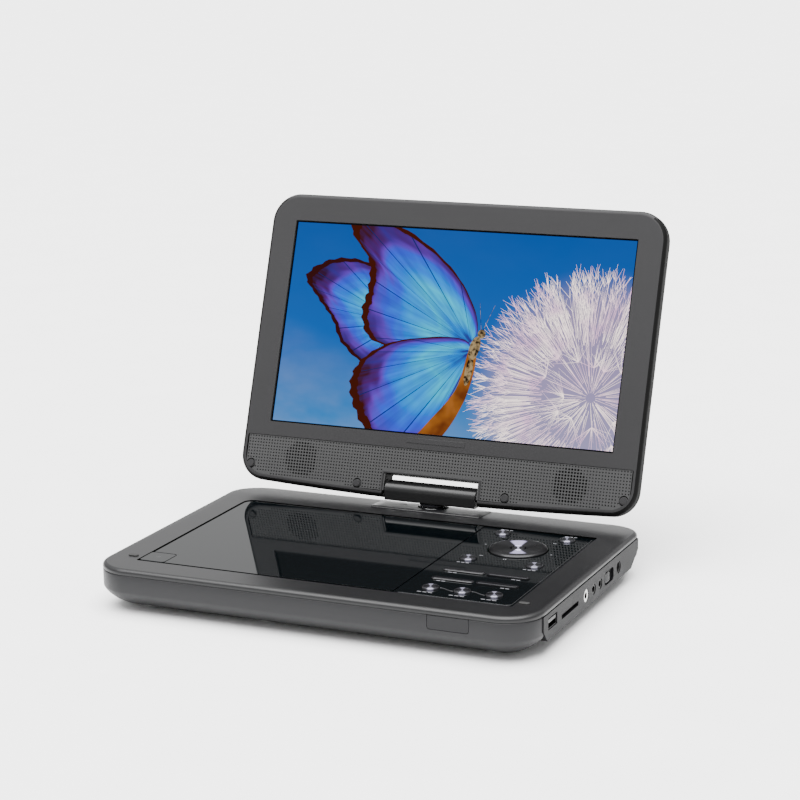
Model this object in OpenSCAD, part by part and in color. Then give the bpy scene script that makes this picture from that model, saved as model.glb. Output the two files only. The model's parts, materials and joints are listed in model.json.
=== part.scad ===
// Portable disc player: a clamshell whose screen lid tilts and swivels on a central hinge.
// Millimetres, with X to the right, Y to the rear and Z up. The origin is the middle of the
// open player's footprint, on the surface that it stands on.

/* [Base] */
// Width of the base
base_w = 265; // [260:1:275]
// Depth of the base
base_d = 190; // [188:1:196]
// Height of the case from its underside to its deck
case_h = 25; // [25:0.5:28]
// Corner radius of the base seen from above
base_r = 22; // [21:0.5:26]
// Height of the rubber feet
foot_h = 1.5; // [1:0.5:3]
// Height of the upper case's rim
rim_h = 3.4; // [3.2:0.1:3.8]
// Wall thickness of the base's shells
wall = 2.2; // [2:0.1:2.4]
// How far the deck falls towards its rear edge
rear_drop = 2; // [1.5:0.1:2.2]

/* [Lid] */
// Width of the lid
lid_w = 259; // [255:1:260]
// Height of the lid from its lower corners to its top edge
lid_h = 181; // [178:1:182]
// Thickness of the lid
lid_t = 13.6; // [13.4:0.1:14.4]
// Radius of the lid's upper corners
lid_r_top = 18; // [16:1:22]
// Radius of the lid's lower corners
lid_r_bottom = 16; // [14:1:18]
// How far the middle of the lid's lower edge bows below its corners
lid_belly = 2.9; // [2.5:0.1:3]
// Width of the picture
picture_w = 222.7; // [220:0.1:224]
// Height of the picture
picture_h = 125.3; // [123:0.1:126]
// Height of the picture's lower edge above the lid's lower corners
picture_v = 37.7; // [37:0.1:39]
// Angle between the deck and the screen as the player stands
open_angle = 110; // [95:1:120]

/* [Hinge] */
// Distance from the base's rear edge to the hinge axes
hinge_setback = 8.7; // [8.5:0.1:9.5]
// Width of the hinge block
block_w = 59; // [56:1:60]
// Height of the hinge block
block_h = 10.6; // [10.2:0.1:10.8]
// Width of the lid's notch for the hinge block
notch_w = 62; // [61.5:0.5:64]
// Height of the notch above the lid's lower corners
notch_v = 11.6; // [11.4:0.1:12.4]
// Gap between the closed lid and the deck
lid_gap = 1; // [0.9:0.1:1.2]

/* [Disc drive] */
// Position of the disc's centre across the base
disc_x = -33.6; // [-35:0.2:-32]
// Position of the disc's centre along the base
disc_y = -8; // [-9:0.5:-7.5]
// Radius of the disc well
well_r = 62; // [61.5:0.1:62.5]
// Radius of the disc that the pickup reads first
read_r = 24; // [24:0.5:26]
// Travel of the pickup
sled_travel = 34; // [30:1:34]

/* [Keys] */
// Position of the direction ring across the base
nav_x = 79.8; // [79:0.2:81]
// Position of the direction ring along the base
nav_y = 22.2; // [21:0.2:23]
// Radius of the direction ring
nav_r = 17.2; // [16:0.2:17.4]
// Radius of the round keys
key_r = 4.8; // [4.4:0.1:5]
// Travel of a key
key_travel = 0.6; // [0.4:0.1:0.8]

/* [Sockets] */
// Depth of the socket centres below the deck
socket_drop = 11.4; // [11:0.1:11.6]
// Radius of the hole in a headphone socket
phone_r = 1.8; // [1.78:0.01:1.85]

/* [Hidden] */
$fn = 48;
// heights of the base
underside_z = foot_h;
deck_z = foot_h + case_h;
split_z = deck_z - rim_h;
floor_z = underside_z + wall;
// bowl of the lower case: width, height and softness of its curved lower edge
bowl_w = 18;
bowl_h = 12;
bowl_soft = 1.4;
// rounded upper edge of the rim
rim_round_w = 2.8;
rim_round_h = 2;
// rear part of the deck, which is a slice of a large cylinder
slope_y = 62;
slope_r = (base_d / 2 - slope_y) * (base_d / 2 - slope_y) / (2 * rear_drop);
// hole in the deck for the disc door, the open button and the control panel
deck_left = -112.4;
deck_right = 114.1;
deck_front = -75.5;
deck_rear = 58.6;
panel_left = 45.1;
gap = 0.4;
// hinge axes: the swivel axis is upright through (0, axis_y), the tilt axis runs along X
axis_y = base_d / 2 - hinge_setback;
axis_z = deck_z + lid_gap + lid_t / 2;
axis_v = 2.7;
lean = open_angle - 90;
block_bottom = axis_z - block_h / 2;
shaft_r = 2.6;
post_r = 5.5;
flange_r = 8.6;
boss_r = 8.5;
clip_r = 6.2;
clip_seat_r = 4.4;
clip_z = deck_z - 8;
running = 0.05;
// lid shells
lid_wall = 1.8;
lid_mid = lid_t / 2;
lid_back_w = 10;
window_margin = 1;
lid_caps = [[-122, 9.6], [-48.4, 4], [48.4, 4], [122, 9.6]];
cap_r = 2.1;
badge_w = 38;
badge_h = 3.2;
badge_v = 31.4;
speaker_x = 88;
speaker_v = 15.3;
// screen: low corner of its glass, depth behind the bezel's face, and the steel tray behind it
glass_low = [-115, 34];
glass_high = [115, 167];
glass_d = 1.4;
glass_t = 1.2;
tray_d = 6.4;
tray_t = 0.5;
tray_ledge = 2.6;
// depth of the base in front of the frame's origin, which is the middle of the footprint
lid_support = sqrt(pow(lid_back_w * sin(lean), 2) + pow(lid_mid * cos(lean), 2));
lid_reach = axis_y + (lid_h - lid_back_w - axis_v) * sin(lean) + lid_support;
base_cy = -(lid_reach - base_d / 2) / 2;
// disc door
door_t = 2;
door_pivot_y = 54.2;
door_pivot_z = deck_z - 4;
door_edge = 1.2;
door_corner_r = 6.4;
door_rear_y = 57.2;
door_lug_x = [-98, 32];
door_lug_w = 12;
door_pin_r = 1;
ear_r = 1.85;
lug_r = 2.3;
button_w = 16.6;
button_d = 16.2;
// disc drive, measured from the disc's centre where the name starts with rel
well_floor_z = deck_z - 10;
well_floor_t = 1.5;
chassis_z = underside_z + 6.5;
chassis_t = 1.2;
rail_z = chassis_z + 5.7;
rail_rel_y = 22;
rail_r = 1.5;
screw_rel_y = -29;
screw_r = 1.4;
screw_pitch = 3;
sled_top_z = chassis_z + 8;
turntable_z = deck_z - 6;
hub_r = 7.35;
ball_r = 0.9;
grommets = [[-32, -34], [48, -36], [-32, 34], [70, 34]];
// control panel
panel_z = deck_z - 0.4;
panel_t = 1.8;
key_board_z = panel_z - 6.2;
stem_z = key_board_z + 2.7 + key_travel;
corner_keys = [[-19.8, 26.2], [19.8, 26.2], [-19.8, -26.2], [19.8, -26.2]];
bar_keys = [[67.3, -27.5], [93.3, -27.5], [67.3, -43.8], [93.3, -43.8]];
bar_key_w = 24.4;
bar_key_d = 4.6;
row_keys = [[61.3, -60.5], [79.8, -60.5], [98.3, -60.5]];
// sockets in the right-hand port panel
side_x = base_w / 2;
port_front = -77.2;
port_rear = 78;
port_bottom = deck_z - 18.1;
socket_z = deck_z - socket_drop;
usb_y = -63.7;
usb_z = deck_z - 9.4;
card_y = -37;
card_z = deck_z - 11.6;
av_y = -11.2;
phone_y = [1.2, 12];
switch_y = 26.8;
dc_y = 43.1;
dc_z = socket_z + 0.5;
usb_half_w = 6.5;
usb_half_h = 3.05;
card_half_w = 13;
card_half_h = 1.3;
av_nose_r = 3.6;
phone_nose_r = 2.9;
dc_nose_r = 3.4;
board_z = socket_z - 4.7;
board_t = 1.6;
board_top = board_z + board_t;
// case screws and feet
screw_posts = [[-104, -78], [-30, -78], [104, -78], [-104, 72], [-34, 72], [104, 72]];
feet = [[-92, -66], [92, -66], [-92, 66], [92, 66]];
bumpers = [[-118.5, -68.5], [118.5, -68.5]];
// colours
satin_grey = "#4c4c4e";
gloss_black = "#17181b";
soft_black = "#202022";
steel = "#9a9da1";
copper_green = "#1f5a3a";

// ---- placing ----

// the base's own coordinates: X and Y from the middle of the base, Z from the table
module in_base() {
    translate([0, base_cy, 0]) children();
}

// the lid's own coordinates: X across, Y from the screen side to the back, Z up the lid
module in_lid() {
    in_base()
        translate([0, axis_y, axis_z])
            rotate([-lean, 0, 0])
                translate([0, -lid_mid, -axis_v])
                    children();
}

module at_disc() {
    translate([disc_x, disc_y, 0]) children();
}

// ---- shared shapes ----

module block(low, high) {
    translate(low) cube(high - low);
}

module post(x, y, r, z0, z1) {
    translate([x, y, z0]) cylinder(r = r, h = z1 - z0);
}

module rod(x0, x1, y, z, r) {
    translate([x0, y, z]) rotate([0, 90, 0]) cylinder(r = r, h = x1 - x0);
}

module rounded_rect(w, d, r) {
    square([w - 2 * r, d], center = true);
    square([w, d - 2 * r], center = true);
    for (x = [-1, 1], y = [-1, 1])
        translate([x * (w / 2 - r), y * (d / 2 - r)]) circle(r);
}

module base_slice(inset, z, t) {
    translate([0, 0, z])
        linear_extrude(t)
            rounded_rect(base_w - 2 * inset, base_d - 2 * inset, base_r - inset);
}

// ---- lower case ----

function bowl_inset(a) = bowl_w * (1 - pow(cos(a), bowl_soft));
function bowl_drop(a) = bowl_h * pow(sin(a), bowl_soft);

module bowl(inset, low_z, high_z) {
    hull() {
        for (a = [0 : 15 : 90])
            base_slice(inset + bowl_inset(a), low_z + bowl_h - bowl_drop(a), 0.01, $fn = 40);
        base_slice(inset, high_z - 0.01, 0.01, $fn = 40);
    }
}

// outline of the port panel seen from the right, with Y across and Z up
module port_outline(grow) {
    polygon([
        [port_front - grow, split_z + 1],
        [port_front - grow, port_bottom + 6.3],
        [port_front + 5.5, port_bottom - grow],
        [port_rear - 12.7, port_bottom - grow],
        [port_rear + grow, port_bottom + 8.3],
        [port_rear + grow, split_z + 1]
    ]);
}

module port_prism(grow, x0, x1) {
    translate([x0, 0, 0])
        rotate([90, 0, 90])
            linear_extrude(x1 - x0) port_outline(grow);
}

module window_plate(grow, y0, y1) {
    translate([85.7, y1, split_z - 3.9])
        rotate([90, 0, 0])
            linear_extrude(y1 - y0) {
                rounded_rect(23.7 + 2 * grow, 7.6 + 2 * grow, 1.6);
                translate([-11.85 - grow, 0]) square([23.7 + 2 * grow, 3.8 + grow]);
            }
}

module bottom_case() {
    in_base() color(satin_grey) difference() {
        union() {
            difference() {
                bowl(0, underside_z, split_z);
                bowl(wall, floor_z, split_z + 1);
            }
            for (p = screw_posts) {
                post(p[0], p[1], 3.6, underside_z + 1.7, deck_z - 12.8);
                post(p[0] * 0.98, p[1] * 0.96, 3.6, underside_z + 0.5, underside_z + 3.6);
            }
            for (g = grommets)
                post(disc_x + g[0], disc_y + g[1], 2, underside_z + 1, chassis_z + 3);
        }
        port_prism(0.15, side_x - 7, side_x + 2);
        window_plate(0.2, -base_d / 2 - 1, -base_d / 2 + wall + 1);
        for (p = screw_posts) {
            post(p[0], p[1], 1.5, 0, deck_z);
            post(p[0], p[1], 3, 0, underside_z + 2.2);
        }
        for (f = feet) post(f[0], f[1], 7.1, 0, underside_z + 0.8);
        for (x = [-84 : 6 : -36])
            block([x, 40, 0], [x + 2.4, 62, floor_z + 1]);
    }
}

module rubber_feet() {
    in_base() color(soft_black)
        for (f = feet) {
            post(f[0], f[1], 7, foot_h - 1, underside_z + 0.7);
            post(f[0], f[1], 6.2, 0, foot_h - 1);
        }
}

module case_screws() {
    in_base() color(steel)
        for (p = screw_posts) difference() {
            union() {
                post(p[0], p[1], 2.6, underside_z + 0.6, underside_z + 2.1);
                post(p[0], p[1], 1.25, underside_z + 2, deck_z - 4);
            }
            for (a = [0, 90])
                translate([p[0], p[1], underside_z + 0.9])
                    rotate([0, 0, a]) cube([3, 0.7, 1], center = true);
        }
}

// ---- upper case ----

// everything below the deck's surface, lowered by a given amount
module below_deck(lower) {
    block([-base_w, -base_d, 0], [base_w, slope_y, deck_z - lower]);
    rod(-base_w, base_w, slope_y, deck_z - slope_r, slope_r - lower, $fn = 360);
}

module rim_solid() {
    hull() {
        base_slice(0, split_z, 0.01, $fn = 40);
        for (a = [0 : 22.5 : 90])
            base_slice(rim_round_w * (1 - cos(a)), deck_z - rim_round_h * (1 - sin(a)) - 0.01,
                       0.01, $fn = 40);
    }
}

module deck_opening(grow, z0, z1) {
    r = 6;
    block([deck_left + r - grow, deck_front - grow, z0], [deck_right + grow, deck_rear + grow, z1]);
    block([deck_left - grow, deck_front - grow, z0], [deck_left + r, deck_rear - r, z1]);
    post(deck_left + r, deck_rear - r, r + grow, z0, z1);
}

module top_case() {
    in_base() color(satin_grey) difference() {
        union() {
            difference() {
                intersection() {
                    rim_solid();
                    below_deck(0);
                }
                intersection() {
                    base_slice(wall, split_z - 1, case_h);
                    below_deck(wall);
                }
            }
            // slightly raised pad under the hinge
            intersection() {
                block([-36, 72, deck_z - 3], [36, base_d / 2 - 2, deck_z + 1]);
                below_deck(-0.5);
            }
            for (p = screw_posts) post(p[0], p[1], 3.4, deck_z - 12.5, deck_z - 2);
            intersection() {
                post(0, axis_y - 1, boss_r, deck_z - 6, deck_z - 2);
                block([-boss_r, 0, 0], [boss_r, base_d / 2 - wall - 0.2, deck_z]);
            }
        }
        deck_opening(0, split_z - 10, deck_z + 2);
        post(0, axis_y, post_r + running, 0, deck_z + 2);
        post(0, axis_y, flange_r + 1, deck_z - 1.6, deck_z + 2);
        for (p = screw_posts) post(p[0], p[1], 1.3, 0, deck_z - 3.4);
        // seats for the two rubber bumpers
        for (b = bumpers) bumper(b, 0.1, deck_z - 0.8, deck_z + 1);
    }
}

module bumper(at, grow, z0, z1) {
    translate([at[0], at[1], z0])
        linear_extrude(z1 - z0) rounded_rect(6 + 2 * grow, 3 + 2 * grow, 1.4);
}

module deck_bumpers() {
    in_base() color(soft_black)
        for (b = bumpers) bumper(b, 0, deck_z - 0.8, deck_z + 0.6);
}

module swivel_washer() {
    in_base() color(soft_black) difference() {
        post(0, axis_y, flange_r + 0.6, deck_z - 1.5, deck_z - 1);
        post(0, axis_y, post_r + 0.4, deck_z - 2, deck_z);
    }
}

module remote_window() {
    in_base() color("#303034") intersection() {
        window_plate(0, -base_d / 2, -base_d / 2 + 1.6);
        block([-base_w, -base_d, 0], [base_w, 0, split_z - 0.1]);
    }
}

// ---- port panel and its sockets ----

module port_panel() {
    in_base() color(satin_grey) difference() {
        intersection() {
            port_prism(0, side_x - 6.5, side_x + 0.2);
            block([0, -base_d, 0], [base_w, base_d, split_z - 0.1]);
        }
        difference() {
            port_prism(-wall, side_x - 8, side_x - wall);
            block([0, -base_d, 0], [base_w, base_d, port_bottom + wall - 0.3]);
        }
        block([side_x - 3, usb_y - usb_half_w - 0.2, usb_z - usb_half_h - 0.15],
              [side_x + 1, usb_y + usb_half_w + 0.2, usb_z + usb_half_h + 0.15]);
        block([side_x - 3, card_y - card_half_w, card_z - card_half_h],
              [side_x + 1, card_y + card_half_w, card_z + card_half_h]);
        rod(side_x - 3, side_x + 1, av_y, socket_z, av_nose_r + 0.1);
        for (y = phone_y) rod(side_x - 3, side_x + 1, y, socket_z, phone_nose_r + 0.1);
        rod(side_x - 3, side_x + 1, dc_y, dc_z, dc_nose_r + 0.1);
        // shallow recess and slot of the power switch
        translate([side_x - 1.2, switch_y, socket_z])
            rotate([90, 0, 90]) linear_extrude(2) rounded_rect(15, 7.7, 2.4);
        block([side_x - 3, switch_y - 5.6, socket_z - 1.7],
              [side_x, switch_y + 5.6, socket_z + 1.7]);
    }
}

module usb_socket() {
    in_base() color(steel) difference() {
        union() {
            block([side_x - 16, usb_y - usb_half_w, usb_z - usb_half_h],
                  [side_x - 0.3, usb_y + usb_half_w, usb_z + usb_half_h]);
            block([side_x - 15, usb_y - 5, board_top], [side_x - 3.4, usb_y + 5, usb_z - 3]);
        }
        block([side_x - 13, usb_y - 6.1, usb_z - 2.6], [side_x, usb_y + 6.1, usb_z + 0.2]);
        block([side_x - 13, usb_y - 6.1, usb_z + 2.1], [side_x, usb_y + 6.1, usb_z + 2.7]);
    }
}

module card_socket() {
    in_base() color(steel) difference() {
        union() {
            block([side_x - 29, card_y - 14, card_z - 1.9], [side_x - 2.6, card_y + 14, card_z + 1.9]);
            block([side_x - 26, card_y - 10, board_top], [side_x - 6, card_y + 10, card_z - 1.8]);
        }
        block([side_x - 26, card_y - 12.4, card_z - 1.2], [side_x, card_y + 12.4, card_z + 1.2]);
    }
}

// a round socket on the main board with its nose in the port panel's hole
module round_socket(y, z, nose_r) {
    block([side_x - 14, y - 4.2, board_top], [side_x - 2.5, y + 4.2, z + 3.6]);
    rod(side_x - 2.6, side_x - 0.2, y, z, nose_r);
}

module av_socket() {
    in_base() color("#d8d8d6") difference() {
        round_socket(av_y, socket_z, av_nose_r);
        rod(side_x - 13, side_x + 1, av_y, socket_z, phone_r);
    }
}

module headphone_sockets() {
    in_base() color(soft_black)
        for (y = phone_y) difference() {
            round_socket(y, socket_z, phone_nose_r);
            rod(side_x - 13, side_x + 1, y, socket_z, phone_r);
        }
}

module power_socket() {
    in_base() color(soft_black) {
        difference() {
            round_socket(dc_y, dc_z, dc_nose_r);
            rod(side_x - 12, side_x + 1, dc_y, dc_z, 2.8);
        }
        rod(side_x - 12.5, side_x - 1.5, dc_y, dc_z, 0.8);
    }
}

module switch_body() {
    in_base() color(soft_black) difference() {
        block([side_x - 9, switch_y - 6.6, board_top], [side_x - 3.2, switch_y + 6.6, socket_z + 3]);
        block([side_x - 5.6, switch_y - 5.5, socket_z - 1.6], [side_x, switch_y + 5.5, socket_z + 1.6]);
    }
}

// the slide's travel runs towards the rear from the off position that it is drawn in
module power_switch() {
    in_base() color("#5a5a5d") {
        block([side_x - 5.3, switch_y - 4.2, socket_z - 1.4],
              [side_x - 0.9, switch_y - 0.6, socket_z + 1.4]);
        translate([side_x - 0.9, switch_y - 2.4, socket_z])
            rotate([90, 0, 90]) linear_extrude(0.9) rounded_rect(6.4, 5.4, 1);
        for (y = [-1.4, 0, 1.4])
            block([side_x - 0.1, switch_y - 2.7 + y, socket_z - 2.2],
                  [side_x + 0.3, switch_y - 2.1 + y, socket_z + 2.2]);
    }
}

// ---- boards and battery ----

module main_board() {
    in_base() color(copper_green) union() {
        block([57, -69, board_z], [side_x - 6.9, 63, board_top]);
        block([66, -20, board_z + 1], [82, -4, board_z + 3]);
        block([70, 10, board_z + 1], [80, 22, board_z + 3]);
        block([62, -52, board_z + 1], [72, -44, board_z + 4]);
        for (y = [34 : 8 : 50]) post(64, y, 3, board_z + 1, board_z + 7);
    }
}

module tact_switch(x, y) {
    block([x - 3, y - 2.2, key_board_z + 1], [x + 3, y + 2.2, key_board_z + 2.6]);
}

module key_board() {
    in_base() color(copper_green) union() {
        block([51, -72, key_board_z], [108, 54, key_board_z + 1.4]);
        for (k = corner_keys) tact_switch(nav_x + k[0], nav_y + k[1]);
        for (k = bar_keys) tact_switch(k[0], k[1]);
        for (k = row_keys) tact_switch(k[0], k[1]);
        for (a = [0 : 90 : 270])
            translate([nav_x, nav_y, 0]) rotate([0, 0, a]) tact_switch(12, 0);
        tact_switch(nav_x, nav_y);
    }
}

module battery_pack() {
    in_base() color("#2b3f66") union() {
        block([-112, -62, floor_z + 0.3], [-76, 34, floor_z + 10]);
        block([-104, 33.9, floor_z + 2], [-92, 38, floor_z + 6]);
    }
}

// ---- disc drive ----

module disc_well() {
    in_base() color(soft_black) difference() {
        union() {
            difference() {
                union() {
                    block([deck_left - 3, deck_front - 3, deck_z - 4.3],
                          [panel_left - 0.6, 50, deck_z - 2.5]);
                    post(disc_x, disc_y, well_r + 1.6, well_floor_z, deck_z - 3);
                }
                // the door's rear edge dips here as the door opens
                block([deck_left, 50, deck_z - 8], [panel_left, deck_rear, deck_z]);
                post(disc_x, disc_y, well_r, well_floor_z + well_floor_t, deck_z);
                for (p = screw_posts) post(p[0], p[1], 3.8, 0, deck_z);
            }
            // ears that carry the door's hinge pins
            for (x = door_lug_x, s = [-1, 1])
                translate([x + s * (door_lug_w / 2 + 1.8), door_pivot_y, 0]) {
                    block([-1.5, -6, door_pivot_z - ear_r], [1.5, 0, deck_z - 2.5]);
                    rod(-1.5, 1.5, 0, door_pivot_z, ear_r);
                }
        }
        post(disc_x, disc_y, 14.5, 0, deck_z);
        at_disc() block([10, -8, 0], [read_r + sled_travel + 11, 8, deck_z - 7]);
        // room for the door's lugs, its catch and the open button
        for (x = door_lug_x)
            block([x - door_lug_w / 2 - 0.3, door_pivot_y - 4, deck_z - 12],
                  [x + door_lug_w / 2 + 0.3, door_pivot_y + 4.6, deck_z]);
        block([-95.2, -75, deck_z - 12], [-88.8, -66, deck_z]);
        block([deck_left - 1, deck_front - 0.3, deck_z - 12],
              [deck_left + button_w + gap + 0.4, deck_front + button_d + gap + 0.6, deck_z]);
        for (x = door_lug_x)
            rod(x - door_lug_w, x + door_lug_w, door_pivot_y, door_pivot_z, door_pin_r + 0.01);
    }
}

module door_hinge_pins() {
    half = door_lug_w / 2 + 3.2;
    in_base() color(steel)
        for (x = door_lug_x) rod(x - half, x + half, door_pivot_y, door_pivot_z, door_pin_r);
}

module disc_door() {
    left = deck_left + gap;
    front = deck_front + gap + 1;
    right = panel_left - gap;
    low = deck_z - door_t;
    r = door_corner_r;
    edge = door_edge;
    in_base() color(gloss_black) difference() {
        union() {
            block([left + r, front, low], [right, door_rear_y - edge, deck_z]);
            block([left + edge, front, low], [left + r, door_rear_y - r, deck_z]);
            // rounded rear and left edges, which clear the deck as the door swings up
            block([left + r, door_rear_y - 3, low], [right, door_rear_y, deck_z - edge]);
            block([left, front, low], [left + r, door_rear_y - r, deck_z - edge]);
            rod(left + r, right, door_rear_y - edge, deck_z - edge, edge);
            translate([left + edge, front, deck_z - edge])
                rotate([-90, 0, 0]) cylinder(r = edge, h = door_rear_y - r - front);
            post(left + r, door_rear_y - r, r, low, deck_z - edge);
            post(left + r, door_rear_y - r, r - edge, low, deck_z);
            translate([left + r, door_rear_y - r, deck_z - edge])
                rotate_extrude() translate([r - edge, 0]) circle(edge);
            for (x = door_lug_x) {
                rod(x - door_lug_w / 2, x + door_lug_w / 2, door_pivot_y, door_pivot_z, lug_r);
                block([x - door_lug_w / 2, door_pivot_y - lug_r, door_pivot_z],
                      [x + door_lug_w / 2, door_pivot_y + 1.6, deck_z - 1]);
            }
            // ring that keeps the disc down, and the front catch
            difference() {
                post(disc_x, disc_y, 16, deck_z - door_t - 0.6, deck_z - 1);
                post(disc_x, disc_y, 13, 0, deck_z - door_t);
            }
            block([-94.2, -73, deck_z - 6], [-89.8, -71.4, deck_z - 1]);
            block([-94.2, -74.2, deck_z - 6], [-89.8, -71.4, deck_z - 5]);
        }
        block([left - 1, front - 1, 0], [left + button_w, front + button_d, deck_z + 1]);
        for (x = door_lug_x)
            rod(x - door_lug_w, x + door_lug_w, door_pivot_y, door_pivot_z, door_pin_r + running);
    }
}

module open_button() {
    left = deck_left + gap;
    front = deck_front + gap + 1;
    r = 3;
    in_base() color(gloss_black) {
        difference() {
            block([left, front, deck_z - 3], [left + button_w - gap, front + button_d - gap, deck_z]);
            block([left - 1, front - 1, 0], [left + r, front + r, deck_z + 1]);
        }
        post(left + r, front + r, r, deck_z - 3, deck_z);
        post(left + 8, front + 8, 3, deck_z - 7, deck_z - 2.9);
    }
}

module drive_chassis() {
    in_base() at_disc() color(steel) difference() {
        union() {
            block([-40, -42, chassis_z], [84, 42, chassis_z + chassis_t]);
            for (y = [-rail_rel_y, rail_rel_y], x = [7, 77])
                block([x, y - 3, chassis_z], [x + 3, y + 3, rail_z + 2.4]);
            block([7, screw_rel_y - 3, chassis_z], [10, screw_rel_y + 3, rail_z + 2.4]);
        }
        for (y = [-rail_rel_y, rail_rel_y])
            rod(6, 81, y, rail_z, rail_r + 0.01);
        rod(6, 81, screw_rel_y, rail_z, screw_r + 0.1);
        for (g = grommets) post(g[0], g[1], 3.5, 0, deck_z);
        post(0, 0, 4, 0, deck_z);
    }
}

module isolator_grommets() {
    in_base() at_disc() color("#3a3a3c")
        for (g = grommets) difference() {
            post(g[0], g[1], 4.8, chassis_z - 1.6, chassis_z + chassis_t + 1.6);
            difference() {
                post(g[0], g[1], 6, chassis_z - 0.05, chassis_z + chassis_t + 0.05);
                post(g[0], g[1], 3.4, 0, deck_z);
            }
            post(g[0], g[1], 2.05, 0, deck_z);
        }
}

module spindle_motor() {
    in_base() at_disc() color(steel) difference() {
        post(0, 0, 11, chassis_z + chassis_t, chassis_z + 7);
        post(0, 0, 1.6, chassis_z + 2, deck_z);
    }
}

module sled_motor() {
    in_base() at_disc() color(steel) difference() {
        rod(77, 88, screw_rel_y, rail_z, 3.8);
        rod(76, 82, screw_rel_y, rail_z, screw_r + 0.1);
    }
}

module guide_rods() {
    in_base() at_disc() color("#c0c2c6")
        for (y = [-rail_rel_y, rail_rel_y]) rod(7.1, 79.9, y, rail_z, rail_r);
}

module turntable() {
    in_base() at_disc() color("#29292b") difference() {
        union() {
            post(0, 0, 13, turntable_z - 2, turntable_z);
            post(0, 0, hub_r, turntable_z - 1, turntable_z + 1);
            translate([0, 0, turntable_z + 1]) cylinder(r1 = hub_r, r2 = hub_r - 1.15, h = 1);
            post(0, 0, 1.5, chassis_z + 3, turntable_z - 1);
        }
        // relief groove, so that the platform starts outside the balls
        difference() {
            post(0, 0, 8, turntable_z - 0.4, turntable_z + 0.5);
            post(0, 0, hub_r, 0, deck_z);
        }
        hub_ball_set(ball_r + running);
    }
}

module hub_ball_set(r) {
    for (a = [30, 150, 270])
        rotate([0, 0, a]) translate([hub_r - 0.45, 0, turntable_z + 1]) sphere(r = r);
}

module hub_balls() {
    in_base() at_disc() color("#c0c2c6")
        hub_ball_set(ball_r);
}

module pickup_sled() {
    in_base() at_disc() color("#8d8f93") difference() {
        union() {
            block([read_r - 9, -25, chassis_z + chassis_t + 0.8], [read_r + 15, 25, sled_top_z]);
            block([read_r - 5, screw_rel_y - 3, rail_z - 2.6], [read_r + 5, -20, rail_z + 2.6]);
            block([read_r - 5.5, -5.5, sled_top_z - 1], [read_r + 5.5, 5.5, sled_top_z + 2]);
        }
        for (y = [-rail_rel_y, rail_rel_y])
            rod(0, 80, y, rail_z, rail_r + running);
        rod(0, 80, screw_rel_y, rail_z, screw_r + 0.08);
        post(0, 0, 12.5, 0, deck_z);
        post(read_r, 0, 2.5, sled_top_z + 0.4, deck_z);
    }
}

module objective_lens() {
    in_base() at_disc() color("#7fa6c4") {
        post(read_r, 0, 2.4, sled_top_z + 0.4, sled_top_z + 2.1);
        intersection() {
            translate([read_r, 0, sled_top_z - 0.6]) sphere(r = 3.2);
            post(read_r, 0, 2.4, sled_top_z + 2, sled_top_z + 3);
        }
    }
}

module lead_screw() {
    in_base() at_disc() color("#c0c2c6") {
        rod(7.2, 81.5, screw_rel_y, rail_z, screw_r - 0.3);
        for (x = [12 : screw_pitch : 75])
            rod(x, x + 1, screw_rel_y, rail_z, screw_r);
    }
}

// ---- control panel and keys ----

module key_hole(x, y, r) {
    post(x, y, r, 0, deck_z + 1);
}

module bar_outline(grow) {
    rounded_rect(bar_key_w + 2 * grow, bar_key_d + 2 * grow, 1.8);
}

module control_panel() {
    front = deck_front + gap;
    rear = deck_rear - 1.1;
    in_base() color(gloss_black) difference() {
        union() {
            block([panel_left, front, panel_z - panel_t], [deck_right - 0.5, rear, panel_z]);
            block([panel_left, front - 2.4, deck_z - 4], [deck_right + 2.4, rear + 2.4, deck_z - 2.4]);
            block([panel_left, front, panel_z - panel_t - 1], [deck_right - 0.5, rear, panel_z - 1]);
        }
        for (p = screw_posts) post(p[0], p[1], 3.8, 0, deck_z - 2.3);
        key_hole(nav_x, nav_y, nav_r + 0.35);
        for (k = corner_keys) key_hole(nav_x + k[0], nav_y + k[1], key_r + 0.25);
        for (k = row_keys) key_hole(k[0], k[1], key_r + 0.25);
        for (k = bar_keys) translate([k[0], k[1], 0]) linear_extrude(deck_z + 1) bar_outline(0.25);
    }
}

// a round key: a domed cap in the panel's hole, and a stem over its switch
module round_key(x, y) {
    cap_z = deck_z + 0.1;
    in_base() color(gloss_black) union() {
        post(x, y, key_r, panel_z - 2.2, cap_z);
        translate([x, y, cap_z]) cylinder(r1 = key_r, r2 = key_r - 1.4, h = 0.35);
        post(x, y, 1.6, stem_z, panel_z - 2.1);
    }
}

module bar_key(k) {
    cap_z = deck_z + 0.3;
    in_base() color(gloss_black) translate([k[0], k[1], 0]) union() {
        translate([0, 0, panel_z - 2.2]) linear_extrude(cap_z - panel_z + 2.2) bar_outline(0);
        post(0, 0, 1.6, stem_z, panel_z - 2.1);
    }
}

module direction_ring() {
    cap_z = deck_z + 0.2;
    in_base() color("#3d3d42") translate([nav_x, nav_y, 0]) difference() {
        union() {
            post(0, 0, nav_r - 0.3, panel_z - 2, cap_z);
            translate([0, 0, cap_z]) cylinder(r1 = nav_r - 0.3, r2 = nav_r - 4, h = 0.8);
            for (a = [0 : 90 : 270])
                rotate([0, 0, a]) post(12, 0, 1.2, stem_z + 0.3, panel_z - 1.9);
        }
        post(0, 0, 4.6, 0, deck_z + 3);
    }
}

module enter_key() {
    cap_z = deck_z + 0.3;
    in_base() color(gloss_black) translate([nav_x, nav_y, 0]) union() {
        post(0, 0, 4.1, panel_z - 2, cap_z);
        translate([0, 0, cap_z]) cylinder(r1 = 4.1, r2 = 3, h = 0.4);
        post(0, 0, 1.6, stem_z, panel_z - 1.9);
    }
}

module corner_key(i) {
    round_key(nav_x + corner_keys[i][0], nav_y + corner_keys[i][1]);
}

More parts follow.
